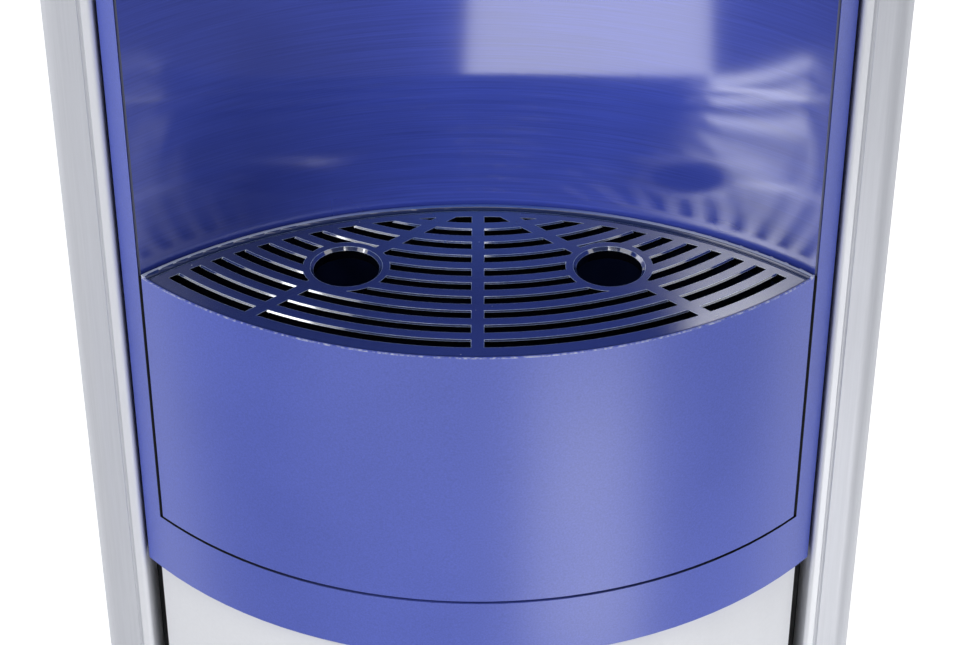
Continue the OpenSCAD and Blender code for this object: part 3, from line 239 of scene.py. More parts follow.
def finish_surface(tree, surface, color, roughness, grain, cloud, spread, depth, edge=0.0):
    """Mottled colour, uneven gloss and a fine relief from two noises"""
    fine = math_node(tree, "MULTIPLY", grain, GRAIN_SHARE)
    coarse = math_node(tree, "MULTIPLY", cloud, CLOUD_SHARE)
    mottle = remap(tree, math_node(tree, "ADD", fine, coarse), low=0.0, high=1.0)
    shown = mix_colors(tree, mottle, shade(color, 1.0 - spread), shade(color, 1.0 + spread))
    tree.links.new(shown, surface.inputs["Base Color"])
    smooth = roughness * (1.0 - GLOSS_SPREAD)
    rough = roughness * (1.0 + GLOSS_SPREAD)
    tree.links.new(remap(tree, cloud, low=smooth, high=rough), surface.inputs["Roughness"])
    set_bump(tree, surface, grain, depth, edge)


# Materials

NAVY = (0.018, 0.032, 0.12)
# Black painted as shade into the frame's seams and the grid's slots
SHADE_BLACK = (0.002, 0.002, 0.003)
# Index of refraction of the surfaces that mirror strongly
MIRROR_IOR = 3.0
# Thickness of a cut edge
CUT_W = 0.1 * MM
# Gap between the tray and the frame
SEAM = 1.3 * MM


def grid_top():
    """Height of the grid's upper face"""
    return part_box("drip_grid")[1][2]


# Plain and brushed finishes

CLOUD_SCALE = 22.0
BRUSH_LINES = 1500.0
BRUSH_CLOUD = 60.0
BRUSH_DEPTH = 0.01 * MM
UPRIGHT_LINES = (1.0, 1.0, 0.02)


def plain(name, color, roughness, metallic=0.0, grain=900.0, spread=0.05, depth=0.02, **sockets):
    """Moulded, cast or painted surface with a fine skin, whose depth is in millimetres"""
    material, tree, surface = new_material(name, color, roughness, metallic, **sockets)
    skin = noise(tree, grain)
    cloud = noise(tree, CLOUD_SCALE)
    finish_surface(tree, surface, color, roughness, skin, cloud, spread, depth * MM)
    return material


def brushed(name, color, roughness, metallic, spread):
    """Metal with fine upright lines"""
    material, tree, surface = new_material(name, color, roughness, metallic)
    lines = noise(tree, BRUSH_LINES, detail=4.0, stretch=UPRIGHT_LINES)
    cloud = noise(tree, BRUSH_CLOUD, stretch=UPRIGHT_LINES)
    finish_surface(tree, surface, color, roughness, lines, cloud, spread, BRUSH_DEPTH)
    return material


# Blue paint of the frame and the tray

FRONT_R = 187 * MM
GRID_DROP = 0.5 * MM
RIM_W = 1.4 * MM
# Width of a broken pale line of wear and painted highlight along the tray's front edge
WORN_AND_LIT_W = 0.5 * MM
PAINT_BLUE = (0.092, 0.128, 0.52)
PAINT_ROUGH = 0.40
PAINT_EDGE = 0.2 * MM
PAINT_DEPTH = 0.015 * MM
# Pale colour of that line of wear and painted highlight
WORN_AND_LIT_PAINT = (0.50, 0.53, 0.68)
# Roughness of the dark places, as a multiple of the paint's
SEAM_DULL = 2.4
BUCKET_GLOSS = 0.25
# Painted shade on the frame's cut edge, faint in the middle and full towards the sides
SEAM_SHADE_FAINT = 0.1
SEAM_SHADE_FAINT_X = 20 * MM
SEAM_SHADE_FULL_X = 100 * MM
# The tray's bead is dark in the middle, with a painted highlight towards its ends
BEAD_RISE = 0.9 * MM
BEAD_DARK = (0.06, 0.12, 0.40)
BEAD_DARK_X = 25 * MM
BEAD_HIGHLIGHT = (0.40, 0.44, 0.56)
BEAD_HIGHLIGHT_X = 85 * MM
BEAD_ROUGH = 0.25


def front_radius(tree):
    """Distance from the axis of the convex front"""
    return axis_distance(tree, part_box("drip_tray")[0][1] + FRONT_R)


def worn_and_lit_edge(tree):
    """Broken line of wear and painted highlight along the tray's upper front edge"""
    near_top = above(tree, part_axis(tree, "Z"), grid_top() + GRID_DROP - WORN_AND_LIT_W)
    at_front = above(tree, front_radius(tree), FRONT_R - WORN_AND_LIT_W)
    broken = remap(tree, noise(tree, scale=600.0, detail=6.0), low=0.0, high=1.0, start=0.44, end=0.62)
    return both(tree, both(tree, near_top, at_front), broken)


def seam_shade_mask(tree):
    """Painted shade on the frame's cut edges beside and under the tray, faint in the middle"""
    tray_low, tray_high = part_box("drip_tray")
    aside = off_middle(tree)
    height = part_axis(tree, "Z")
    strength = remap(tree, aside, low=SEAM_SHADE_FAINT, high=1.0, start=SEAM_SHADE_FAINT_X, end=SEAM_SHADE_FULL_X)
    inside = both(tree, below(tree, aside, tray_high[0] + SEAM + CUT_W), strength)
    over_foot = above(tree, height, tray_low[2] - SEAM - CUT_W)
    under_grid = below(tree, height, grid_top())
    return both(tree, both(tree, inside, over_foot), under_grid)


def inside_bucket(tree):
    """The tray's bucket, behind its front wall"""
    return below(tree, front_radius(tree), FRONT_R - RIM_W / 2)


def blue_paint(name, dark, dark_color, dark_gloss, worn_and_lit=None):
    """Satin metallic blue, dark where the mask says, with a line of wear and painted highlight"""
    material, tree, surface = new_material(
        name, PAINT_BLUE, PAINT_ROUGH, Coat_Weight=0.25, Coat_Roughness=0.3, Specular_IOR_Level=0.5
    )
    grain = noise(tree, scale=1400.0, detail=2.0)
    cloud = noise(tree, scale=9.0)
    finish_surface(
        tree, surface, PAINT_BLUE, PAINT_ROUGH, grain, cloud, spread=0.16, depth=PAINT_DEPTH, edge=PAINT_EDGE
    )
    mask = dark(tree)
    paint_over(tree, surface, mask, dark_color)
    if worn_and_lit:
        paint_over(tree, surface, worn_and_lit(tree), WORN_AND_LIT_PAINT)
    change = math_node(tree, "MULTIPLY", mask, dark_gloss - 1.0)
    change_roughness(tree, surface, "MULTIPLY", math_node(tree, "ADD", 1.0, change))
    return material


def tray_paint():
    """Blue front over a navy bucket, with a bead that has a painted highlight towards its ends"""
    material = blue_paint("tray_paint", inside_bucket, NAVY, BUCKET_GLOSS, worn_and_lit_edge)
    tree, surface = opened(material)
    bead = above(tree, part_axis(tree, "Z"), grid_top() + GRID_DROP + BEAD_RISE)
    highlight_ends = remap(tree, off_middle(tree), low=0.0, high=1.0, start=BEAD_DARK_X, end=BEAD_HIGHLIGHT_X)
    # Painted highlight: the bead turns pale towards its ends
    paint_over(tree, surface, bead, mix_colors(tree, highlight_ends, BEAD_DARK, BEAD_HIGHLIGHT))
    change_roughness(tree, surface, "ADD", math_node(tree, "MULTIPLY", bead, BEAD_ROUGH))
    return material


# Brushed wall of the niche

WALL_BLUE = (0.062, 0.098, 0.56)
WALL_ROUGH = 0.09
WALL_DEPTH = 0.002 * MM
LEVEL_LINES = (0.015, 0.015, 1.0)
# Painted light and shade: the colour is scaled from a lighter middle to darker sides
LIT_MIDDLE_X = 20 * MM
LIT_MIDDLE_SCALE = 1.30
LIT_MIDDLE_W = 30 * MM
SHADED_SIDE_SCALE = 0.80
SHADED_SIDE_W = 110 * MM
# Roughness of the haze above the grid, as a multiple, and the heights between which it fades
HAZE_ROUGH = 2.9
HAZE_LOW = 8 * MM
HAZE_HIGH = 55 * MM


def niche_finish():
    """Neutral gloss over a deep blue with level lines, painted lighter in the middle and darker at the sides
    as light and shade, hazy above the grid and dark at its cut ends
    """
    material, tree, surface = new_material(
        "brushed_blue", WALL_BLUE, WALL_ROUGH, IOR=MIRROR_IOR, Anisotropic=0.8
    )
    lines = noise(tree, scale=1600.0, detail=5.0, stretch=LEVEL_LINES)
    cloud = noise(tree, scale=14.0, detail=2.0)
    finish_surface(tree, surface, WALL_BLUE, WALL_ROUGH, lines, cloud, spread=0.2, depth=WALL_DEPTH)
    aside = off_middle(tree, LIT_MIDDLE_X)
    painted_light_scale = remap(tree, aside, low=LIT_MIDDLE_SCALE, high=SHADED_SIDE_SCALE, start=LIT_MIDDLE_W, end=SHADED_SIDE_W)
    # Painted light in the middle of the wall and painted shade at its sides
    scale_color(tree, surface, painted_light_scale)
    cut_end = below(tree, part_axis(tree, "Y"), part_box("niche_wall")[0][1] + CUT_W)
    paint_over(tree, surface, cut_end, NAVY)
    foot = grid_top() + HAZE_LOW
    head = grid_top() + HAZE_HIGH
    haze = remap(tree, part_axis(tree, "Z"), low=HAZE_ROUGH, high=1.0, start=foot, end=head)
    change_roughness(tree, surface, "MULTIPLY", haze)
    change_roughness(tree, surface, "MAXIMUM", cut_end)
    return material


# Silver pillars

SILVER = (0.62, 0.63, 0.67)
STRIP_HIGHLIGHT = (0.82, 0.83, 0.86)
PILLAR_STRIP_W = 4.2 * MM


def pillar_finish():
    """Satin anodised face beside an inner strip with a painted highlight"""
    material = brushed("silver_anodised", SILVER, roughness=0.45, metallic=0.15, spread=0.05)
    tree, surface = opened(material)
    strip_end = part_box("pillar_right")[0][0] + PILLAR_STRIP_W
    # Painted highlight along the pillar's inner strip
    paint_over(tree, surface, below(tree, off_middle(tree), strip_end), STRIP_HIGHLIGHT)
    return material


# Slotted grid

GRID_ROUGH = 0.07
GRID_DEPTH = 0.003 * MM
GRID_ROUND = 0.25 * MM
# Width and colour of the painted highlights on the grid's edges
GRID_HIGHLIGHT_W = 0.32 * MM
GRID_EDGE_HIGHLIGHT = (0.58, 0.74, 1.0)
DUST = (0.55, 0.58, 0.66)
SPECK_SCALE = 260.0
# Painted reflection of the wall: lighter blue round the middle of the grid's rear edge
REAR_REFLECTION_BLUE = (0.06, 0.13, 0.44)
REAR_SHARE = 0.5
REAR_NEAR = 10 * MM
REAR_FAR = 60 * MM
# Cosine of the normal's turn on an edge and beside it
EDGE_COSINE = 0.965
FLAT_COSINE = 0.995
EDGE_MASK_SAMPLES = 8
# Most that the normal of an upright face may rise or fall
UPRIGHT_LEAN = 0.3


def edge_mask(tree, radius):
    """One along the edges, nought on flat faces"""
    shape = tree.nodes.new("ShaderNodeNewGeometry")
    turn = tree.nodes.new("ShaderNodeVectorMath")
    turn.operation = "DOT_PRODUCT"
    tree.links.new(soft_normal(tree, radius, EDGE_MASK_SAMPLES), turn.inputs[0])
    tree.links.new(shape.outputs["Normal"], turn.inputs[1])
    return remap(tree, turn.outputs["Value"], low=1.0, high=0.0, start=EDGE_COSINE, end=FLAT_COSINE)


def upright_mask(tree):
    """One on upright faces, nought on faces that lean or lie flat"""
    shape = tree.nodes.new("ShaderNodeNewGeometry")
    facing = tree.nodes.new("ShaderNodeSeparateXYZ")
    tree.links.new(shape.outputs["True Normal"], facing.inputs["Vector"])
    return below(tree, math_node(tree, "ABSOLUTE", facing.outputs["Z"]), UPRIGHT_LEAN)


def dust_mask(tree):
    """Sparse small specks"""
    cells = tree.nodes.new("ShaderNodeTexVoronoi")
    cells.inputs["Scale"].default_value = SPECK_SCALE
    tree.links.new(part_coords(tree), cells.inputs["Vector"])
    speck = remap(tree, cells.outputs["Distance"], low=1.0, high=0.0, start=0.05, end=0.09)
    sparse = remap(tree, noise(tree, scale=130.0), low=0.0, high=1.0, start=0.60, end=0.66)
    return both(tree, speck, sparse)


def grid_finish():
    """Glossy navy with painted highlights on its edges, a painted reflection at its rear, slot walls painted
    black as shade, and specks of dust
    """
    material, tree, surface = new_material("navy_gloss", NAVY, GRID_ROUGH, IOR=MIRROR_IOR)
    grain = noise(tree, scale=500.0)
    cloud = noise(tree, scale=40.0)
    finish_surface(
        tree, surface, NAVY, GRID_ROUGH, grain, cloud, spread=0.12, depth=GRID_DEPTH, edge=GRID_ROUND
    )
    paint_over(tree, surface, dust_mask(tree), DUST)
    # Painted reflection of the wall, lighter blue round the middle of the rear edge
    reach = axis_distance(tree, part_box("drip_grid")[1][1])
    painted_reflection = remap(tree, reach, low=REAR_SHARE, high=0.0, start=REAR_NEAR, end=REAR_FAR)
    paint_over(tree, surface, painted_reflection, REAR_REFLECTION_BLUE)
    # Painted shade: the slots' upright walls are painted black
    upright = upright_mask(tree)
    paint_over(tree, surface, upright, SHADE_BLACK)
    # Painted highlights, broken up, on the grid's edges but not on its upright walls
    broken = remap(tree, noise(tree, scale=700.0, detail=4.0), low=0.5, high=1.0)
    painted_highlight = both(tree, edge_mask(tree, GRID_HIGHLIGHT_W), broken)
    painted_highlight = both(tree, painted_highlight, math_node(tree, "SUBTRACT", 1.0, upright))
    paint_over(tree, surface, painted_highlight, GRID_EDGE_HIGHLIGHT)
    return material


PLAIN_FINISHES = {
    "white_paint": dict(color=(0.80, 0.805, 0.83), roughness=0.58, grain=600.0, spread=0.02, depth=0.03),
    "white_plastic": dict(color=(0.82, 0.82, 0.83), roughness=0.38, grain=1500.0, spread=0.02),
    "black_rubber": dict(
        color=(0.008, 0.008, 0.009), roughness=0.85, grain=1100.0, spread=0.25, depth=0.04,
        Specular_IOR_Level=0.2,
    ),
    "black_plastic": dict(
        color=(0.016, 0.016, 0.018), roughness=0.45, grain=1200.0, spread=0.2, depth=0.03
    ),
    "grey_plastic": dict(color=(0.09, 0.09, 0.1), roughness=0.5, grain=1200.0, spread=0.12, depth=0.03),
    "black_paint": dict(
        color=(0.012, 0.012, 0.013), roughness=0.3, grain=500.0, spread=0.2, Coat_Weight=0.4
    ),
    "zinc": dict(
        color=(0.62, 0.63, 0.66), roughness=0.34, metallic=1.0, grain=260.0, spread=0.12, depth=0.01
    ),
    "copper": dict(
        color=(0.58, 0.25, 0.13), roughness=0.36, metallic=1.0, grain=180.0, spread=0.25, depth=0.01
    ),
    "foam": dict(color=(0.86, 0.85, 0.79), roughness=0.85, grain=420.0, spread=0.06, depth=0.25),
    "silicone": dict(color=(0.80, 0.79, 0.75), roughness=0.5, grain=800.0, spread=0.04),
    "silver_plastic": dict(color=(0.64, 0.65, 0.68), roughness=0.24, metallic=0.75, depth=0.006),
    "red_plastic": dict(
        color=(0.50, 0.014, 0.016), roughness=0.3, grain=1200.0, spread=0.08, Coat_Weight=0.3
    ),
    "blue_plastic": dict(
        color=(0.03, 0.07, 0.42), roughness=0.3, grain=1200.0, spread=0.08, Coat_Weight=0.3
    ),
    "green_plastic": dict(
        color=(0.02, 0.25, 0.07), roughness=0.32, grain=1200.0, spread=0.08, Coat_Weight=0.3
    ),
    "lens": dict(color=(0.34, 0.55, 0.36), roughness=0.12, grain=700.0, spread=0.08, depth=0.005),
    "board_green": dict(color=(0.012, 0.10, 0.04), roughness=0.4, grain=350.0, spread=0.25),
}

MATERIALS = {
    # The frame's blue paint gets black painted shade along its seams beside the tray
    "blue_paint": blue_paint("blue_paint", seam_shade_mask, SHADE_BLACK, SEAM_DULL),
    "brushed_blue": niche_finish(),
    "navy_gloss": grid_finish(),
    "silver_anodised": pillar_finish(),
    "stainless": brushed("stainless", (0.66, 0.67, 0.68), roughness=0.28, metallic=1.0, spread=0.08),
}
for finish_name, look in PLAIN_FINISHES.items():
    MATERIALS[finish_name] = plain(finish_name, **look)


# Rounded edges of the nodes, in millimetres, where nought leaves an edge as it is

EDGE_DEFAULT = 0.3
EDGES = {
    "fascia": 0.0, "drip_tray": 0.0, "drip_grid": 0.0, "niche_wall": 0.0, "door_skin": 1.0,
    "top_cover": 1.6, "bottle_collar": 0.8, "feed_spike": 0.7, "hot_tap_lever": 0.9,
    "cold_tap_lever": 0.9, "hot_tap_body": 0.8, "cold_tap_body": 0.8, "tap_bonnets": 0.8, "feet": 1.5,
    "base_pan": 1.2, "mains_inlet": 0.4, "switch_housings": 0.5, "heat_rocker": 0.4, "cool_rocker": 0.4,
    "compressor": 1.5, "drain_cap": 0.8, "cabinet_liner": 0.6,
}
WELD_GAP = 0.005 * MM
FLAT_ANGLE = math.radians(0.2)
SHARP_ANGLE = math.radians(35)


def round_edges(name):
    """Welds the node's facets and rounds its edges, without touching its mesh"""
    part = nodes[name]
    width = EDGES.get(name, EDGE_DEFAULT) * MM
    if width == 0.0:
        return
    weld = part.modifiers.new("weld", "WELD")
    weld.merge_threshold = WELD_GAP
    flats = part.modifiers.new("flats", "DECIMATE")
    flats.decimate_type = "DISSOLVE"
    flats.angle_limit = FLAT_ANGLE
    bevel = part.modifiers.new("edges", "BEVEL")
    bevel.width = width
    bevel.segments = 3
    bevel.limit_method = "ANGLE"
    bevel.angle_limit = SHARP_ANGLE
    bevel.miter_outer = "MITER_ARC"
    bevel.harden_normals = True


def dress_node(name):
    """Gives each slot of a node the finish that it is named after, and rounds the node's edges"""
    for slot in nodes[name].material_slots:
        slot.material = MATERIALS[slot.material.name.split(".")[0]]
    round_edges(name)


for node_name in nodes:
    dress_node(node_name)
nodes["drip_tray"].material_slots[0].material = tray_paint()


# Mesh helpers

def join_rings(bm, first, second):
    """Faces between two rings of as many points"""
    for step in range(len(first)):
        after = (step + 1) % len(first)
        bm.faces.new((first[step], first[after], second[after], second[step]))


def lathe(bm, profile, matrix, segments, ripple=None, closed=False):
    """Rings from pairs of radius and height, joined by faces; ripple is added to the radius by angle"""
    rings = []
    for radius, height in profile:
        ring = []
        for step in range(segments):
            angle = 2 * math.pi * step / segments
            reach = radius + (ripple(angle) if ripple else 0.0)
            point = Vector((reach * math.cos(angle), reach * math.sin(angle), height))
            ring.append(bm.verts.new(matrix @ point))
        rings.append(ring)
    for low, high in zip(rings, rings[1:]):
        join_rings(bm, low, high)
    if closed:
        join_rings(bm, rings[-1], rings[0])
    return rings


def close_ends(bm, rings):
    """Faces over the first and the last ring"""
    bm.faces.new(rings[0])
    bm.faces.new(rings[-1])


def rounded_box(bm, center, size, radius):
    """Box with rounded edges"""
    made = bmesh.ops.create_cube(bm, size=1.0)
    for vert in made["verts"]:
        vert.co = Vector(center) + Vector([vert.co[axis] * size[axis] for axis in range(3)])
    edges = list({edge for vert in made["verts"] for edge in vert.link_edges})
    bmesh.ops.bevel(bm, geom=edges, offset=radius, segments=3, profile=0.5, affect="EDGES")


def add_piece(name, bm, finish, body=None, replaced=None):
    """Mesh object with a finish of the record, riding on a body where one is given"""
    bmesh.ops.recalc_face_normals(bm, faces=bm.faces)
    mesh = bpy.data.meshes.new(name)
    bm.to_mesh(mesh)
    bm.free()
    for polygon in mesh.polygons:
        polygon.use_smooth = True
    mesh.set_sharp_from_angle(angle=SHARP_ANGLE)
    mesh.materials.append(MATERIALS[finish])
    piece = bpy.data.objects.new(name, mesh)
    bpy.context.collection.objects.link(piece)
    if body:
        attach(piece, body)
    if replaced:
        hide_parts(replaced)
    return piece


def facing_back(place):
    """Frame whose Z axis points to the back of the cooler"""
    return Matrix.Translation(place) @ Matrix.Rotation(math.radians(-90), 4, "X")


def middle_of(node):
    """Middle of a node's box"""
    low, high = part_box(node)
    return Vector([(low[axis] + high[axis]) / 2 for axis in range(3)])


# Rear screws with cross recesses

SCREW_ROWS = 4
SCREW_END = 20 * MM
SCREW_SIDE = 7 * MM
SCREW_R = 4 * MM
SCREW_T = 2.3 * MM
# Shares of the head's radius and height, from its foot to the rim of its crown
SCREW_PROFILE = ((1.0, 0.0), (1.0, 0.35), (0.88, 0.78), (0.62, 1.0))
SCREW_SEGMENTS = 48
CROSS_W = 0.65 * MM
CROSS_R = 2.1 * MM
CROSS_DEPTH = 1.4 * MM


def cross_outline():
    """Twelve corners of a cross, by angle"""
    corners = []
    for quarter in range(4):
        turn = Matrix.Rotation(math.radians(90 * quarter), 2)
        for corner in ((CROSS_R, -CROSS_W), (CROSS_R, CROSS_W), (CROSS_W, CROSS_W)):
            corners.append(turn @ Vector(corner))
    return corners


def screw_head(bm, place):
    """Domed head whose crown is filled in towards a cross-shaped recess"""
    matrix = facing_back(place)
    profile = [(radius * SCREW_R, height * SCREW_T) for radius, height in SCREW_PROFILE]
    rings = lathe(bm, profile, matrix, SCREW_SEGMENTS)
    bm.faces.new(rings[0])
    crown = rings[-1]
    rim = [bm.verts.new(matrix @ Vector((*corner, SCREW_T))) for corner in cross_outline()]
    floor_z = SCREW_T - CROSS_DEPTH
    floor = [bm.verts.new(matrix @ Vector((*corner, floor_z))) for corner in cross_outline()]
    share = len(crown) // len(rim)
    for index in range(len(rim)):
        after = (index + 1) % len(rim)
        start = index * share
        for step in range(start, start + share):
            bm.faces.new((crown[step], crown[(step + 1) % len(crown)], rim[index]))
        bm.faces.new((crown[(start + share) % len(crown)], rim[after], rim[index]))
        bm.faces.new((rim[index], rim[after], floor[after], floor[index]))
    bm.faces.new(floor)


def rear_screws():
    """Two columns of screw heads on the rear panel"""
    low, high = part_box("rear_panel")
    face_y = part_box("rear_screws")[1][1] - SCREW_T
    step = (high[2] - low[2] - 2 * SCREW_END) / (SCREW_ROWS - 1)
    bm = bmesh.new()
    for row in range(SCREW_ROWS):
        for x in (low[0] + SCREW_SIDE, high[0] - SCREW_SIDE):
            screw_head(bm, (x, face_y, low[2] + SCREW_END + row * step))
    add_piece("rear_screw_heads", bm, "zinc", "cabinet", "rear_screws")


# Ribbed drain cap

CAP_RIBS = 30
CAP_RIB = 0.6 * MM
CAP_SEGMENTS = 8 * CAP_RIBS
CAP_ROUND = 1.6 * MM
CAP_SOFT = 0.3 * CAP_ROUND
# Shares of the cap's radius at the rim and the floor of its shallow dish
CAP_DISH_RIM = 0.55
CAP_DISH_FLOOR = 0.5
CAP_HOLE_R = 8.05 * MM
CAP_FLOOR = 2 * MM


def cap_ribs(angle):
    """Depth of the grooves between the ribs, at an angle round the cap"""
    return -CAP_RIB * (0.5 - 0.5 * math.cos(CAP_RIBS * angle))


def drain_cap():
    """Ribbed side, rounded crown with a dish, and the hole that screws on"""
    low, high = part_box("drain_cap")
    middle = middle_of("drain_cap")
    radius = (high[0] - low[0]) / 2
    length = high[1] - low[1]
    matrix = facing_back((middle.x, low[1], middle.z))
    side_profile = [(radius - CAP_RIB, 0.0), (radius, CAP_RIB), (radius, length - CAP_ROUND)]
    crown_profile = [
        (radius - CAP_RIB, length - CAP_ROUND),
        (radius - CAP_SOFT - CAP_RIB, length - CAP_SOFT),
        (radius - CAP_ROUND - CAP_RIB, length),
        (CAP_DISH_RIM * radius, length),
        (CAP_DISH_FLOOR * radius, length - CAP_RIB),
    ]
    hole_profile = [(CAP_HOLE_R, 0.0), (CAP_HOLE_R, length - CAP_FLOOR)]
    bm = bmesh.new()
    sides = lathe(bm, side_profile, matrix, CAP_SEGMENTS, cap_ribs)
    crown = lathe(bm, crown_profile, matrix, CAP_SEGMENTS)
    hole = lathe(bm, hole_profile, matrix, CAP_SEGMENTS)
    join_rings(bm, sides[-1], crown[0])
    join_rings(bm, sides[0], hole[0])
    bm.faces.new(crown[-1])
    bm.faces.new(hole[-1])
    add_piece("ribbed_drain_cap", bm, "white_plastic", "drain_cap", "drain_cap")


# Seam, relay box and its clip on the compressor

SHELL_R = 54 * MM
SHELL_SEGMENTS = 96
SHELL_SEAM_R = 1.5 * MM
SHELL_SEAM_RISE = 62 * MM
SHELL_SEAM_STEPS = 12
RELAY_DEPTH = 26 * MM
RELAY_W = 40 * MM
RELAY_H = 52 * MM
RELAY_RISE = 48 * MM
RELAY_SINK = 4 * MM
RELAY_ROUND = 2.5 * MM
LID_T = 3 * MM
LID_INSET = 6 * MM
LID_ROUND = 1.2 * MM
LID_RIB_SIZE = (2 * MM, 24 * MM, 3 * MM)
LID_RIB_STEP = 15 * MM
LID_RIB_RISE = 2 * MM
LID_RIB_ROUND = 0.8 * MM
CLIP_W = 6 * MM
CLIP_T = 1.2 * MM
CLIP_LEG = 18 * MM
CLIP_LEG_DROP = 8 * MM
CLIP_ROUND = 0.5 * MM


def shell_seam(place):
    """Flat bead round the compressor's shell"""
    bead = []
    for step in range(SHELL_SEAM_STEPS):
        angle = 2 * math.pi * step / SHELL_SEAM_STEPS
        bead.append((SHELL_R + SHELL_SEAM_R * math.cos(angle) / 2, SHELL_SEAM_R * math.sin(angle)))
    bm = bmesh.new()
    lathe(bm, bead, Matrix.Translation(place), SHELL_SEGMENTS, closed=True)
    add_piece("compressor_seam", bm, "black_paint", "cabinet")


def relay_box(center):
    """Box with a lid and three ribs on it"""
    bm = bmesh.new()
    rounded_box(bm, center, (RELAY_DEPTH, RELAY_W, RELAY_H), RELAY_ROUND)
    lid = center + Vector((RELAY_DEPTH / 2, 0, 0))
    rounded_box(bm, lid, (LID_T, RELAY_W - LID_INSET, RELAY_H - LID_INSET), LID_ROUND)
    for rib_z in (-LID_RIB_STEP, 0.0, LID_RIB_STEP):
        rounded_box(bm, lid + Vector((LID_RIB_RISE, 0, rib_z)), LID_RIB_SIZE, LID_RIB_ROUND)
    add_piece("compressor_relay", bm, "grey_plastic", "cabinet")


def relay_clip(center):
    """Strap over the relay box with a leg down its lid"""
    strap = center + Vector((0, 0, RELAY_H / 2))
    leg = strap + Vector((RELAY_DEPTH / 2 + CLIP_T, 0, -CLIP_LEG_DROP))
    bm = bmesh.new()
    rounded_box(bm, strap, (RELAY_DEPTH + 2 * CLIP_T, CLIP_W, 2 * CLIP_T), CLIP_ROUND)
    rounded_box(bm, leg, (2 * CLIP_T, CLIP_W, CLIP_LEG), CLIP_ROUND)
    add_piece("relay_clip", bm, "zinc", "cabinet")


def compressor_fittings():
    """Fittings on the shell, which stands in the middle of its grommets"""
    middle_y = middle_of("compressor_grommets").y
    foot_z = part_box("compressor")[0][2]
    relay_x = SHELL_R + RELAY_DEPTH / 2 - RELAY_SINK
    center = Vector((relay_x, middle_y, foot_z + RELAY_RISE))
    shell_seam((0, middle_y, foot_z + SHELL_SEAM_RISE))
    relay_box(center)
    relay_clip(center)


# Brazed joints at both ends of the filter drier

BRAZE_R = 3.4 * MM
BRAZE_END_R = 0.6 * BRAZE_R
BRAZE_H = 4 * MM
BRAZE_SEGMENTS = 32
BRAZE_WAVE = 0.15 * MM
BRAZE_WAVES = 3


def braze_ripple(angle):
    """Unevenness of the braze, at an angle round the tube"""
    return BRAZE_WAVE * math.sin(BRAZE_WAVES * angle)


def brazed_joints():
    """A swollen sleeve at each end"""
    low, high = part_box("filter_drier")
    middle = middle_of("filter_drier")
    profile = [
        (BRAZE_END_R, -BRAZE_H), (BRAZE_R, -BRAZE_H / 3), (BRAZE_R, BRAZE_H / 3), (BRAZE_END_R, BRAZE_H)
    ]
    bm = bmesh.new()
    for end_z in (low[2], high[2]):
        matrix = Matrix.Translation((middle.x, middle.y, end_z))
        close_ends(bm, lathe(bm, profile, matrix, BRAZE_SEGMENTS, braze_ripple))
    add_piece("brazed_joints", bm, "copper", "cabinet")


# Black strips in the seams beside the tray

STRIP_GAP = 0.15 * MM
STRIP_T = 0.8 * MM
STRIP_ROUND = 0.2 * MM


def tray_strips():
    """One strip on each side, from the tray's foot to the grid"""
    tray_low, tray_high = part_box("drip_tray")
    wall_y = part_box("niche_wall")[0][1]
    top_z = grid_top()
    inner_x = tray_high[0] + STRIP_GAP
    outer_x = tray_high[0] + SEAM - CUT_W
    middle_x = (inner_x + outer_x) / 2
    middle_y = wall_y - STRIP_GAP - STRIP_T / 2
    middle_z = (tray_low[2] + top_z) / 2
    size = (outer_x - inner_x, STRIP_T, top_z - tray_low[2])
    bm = bmesh.new()
    for side in (-1, 1):
        rounded_box(bm, (side * middle_x, middle_y, middle_z), size, STRIP_ROUND)
    add_piece("tray_strips", bm, "black_rubber", "cabinet")


# Silicone seals of the taps, whose rims sit under the bonnets over a pleated neck and a plug

SEAL_RIM_T = 2 * MM
SEAL_NECK_R = 3.4 * MM
SEAL_BORE_R = 1.7 * MM
SEAL_PLUG_R = 6.4 * MM
SEAL_PLUG_H = 8 * MM
SEAL_BORE_RISE = 3.5 * MM
SEAL_ROUND = 0.8 * MM
SEAL_PLEATS = 3
SEAL_PLEAT = 0.6 * MM
SEAL_SEGMENTS = 64


def seal_profile(low_z, plug_z, rim_z, high_z, rim_r):
    """Radii and heights from the bore over the rim and down the pleats to the plug's foot"""
    profile = [(SEAL_BORE_R, low_z + SEAL_BORE_RISE), (SEAL_BORE_R, rim_z), (SEAL_BORE_R, high_z)]
    profile += [(rim_r, high_z), (rim_r, rim_z), (SEAL_NECK_R, rim_z)]
    pleat_h = (rim_z - plug_z) / SEAL_PLEATS
    for pleat in range(SEAL_PLEATS):
        top = rim_z - pleat * pleat_h
        profile.append((SEAL_NECK_R - SEAL_PLEAT, top - pleat_h / 2))
        profile.append((SEAL_NECK_R, top - pleat_h))
    profile += [(SEAL_PLUG_R - SEAL_ROUND, plug_z), (SEAL_PLUG_R, plug_z - SEAL_ROUND)]
    profile += [(SEAL_PLUG_R, low_z + SEAL_ROUND), (SEAL_PLUG_R - SEAL_ROUND, low_z)]
    return profile


def tap_seal(name, node):
    """Rim, pleated neck and rounded plug round the stem's bore"""
    low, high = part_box(node)
    rim_r = (high[0] - low[0]) / 2
    rim_z = high[2] - SEAL_RIM_T
    plug_z = low[2] + SEAL_PLUG_H
    profile = seal_profile(low[2], plug_z, rim_z, high[2], rim_r)
    middle = middle_of(node)
    matrix = Matrix.Translation((middle.x, middle.y, 0.0))
    bm = bmesh.new()
    close_ends(bm, lathe(bm, profile, matrix, SEAL_SEGMENTS))
    seal = add_piece(name, bm, "silicone", replaced=node)
    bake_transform(seal)


# On and off marks of the rockers

MARK_T = 0.25 * MM
MARK_RISE = 4.6 * MM
MARK_RING_R = 1.5 * MM
MARK_LINE = 0.35 * MM
MARK_ROUND = 0.08 * MM
MARK_SEGMENTS = 32
ROCKER_FACE = 3.4 * MM
ROCKER_TILT = math.radians(16)


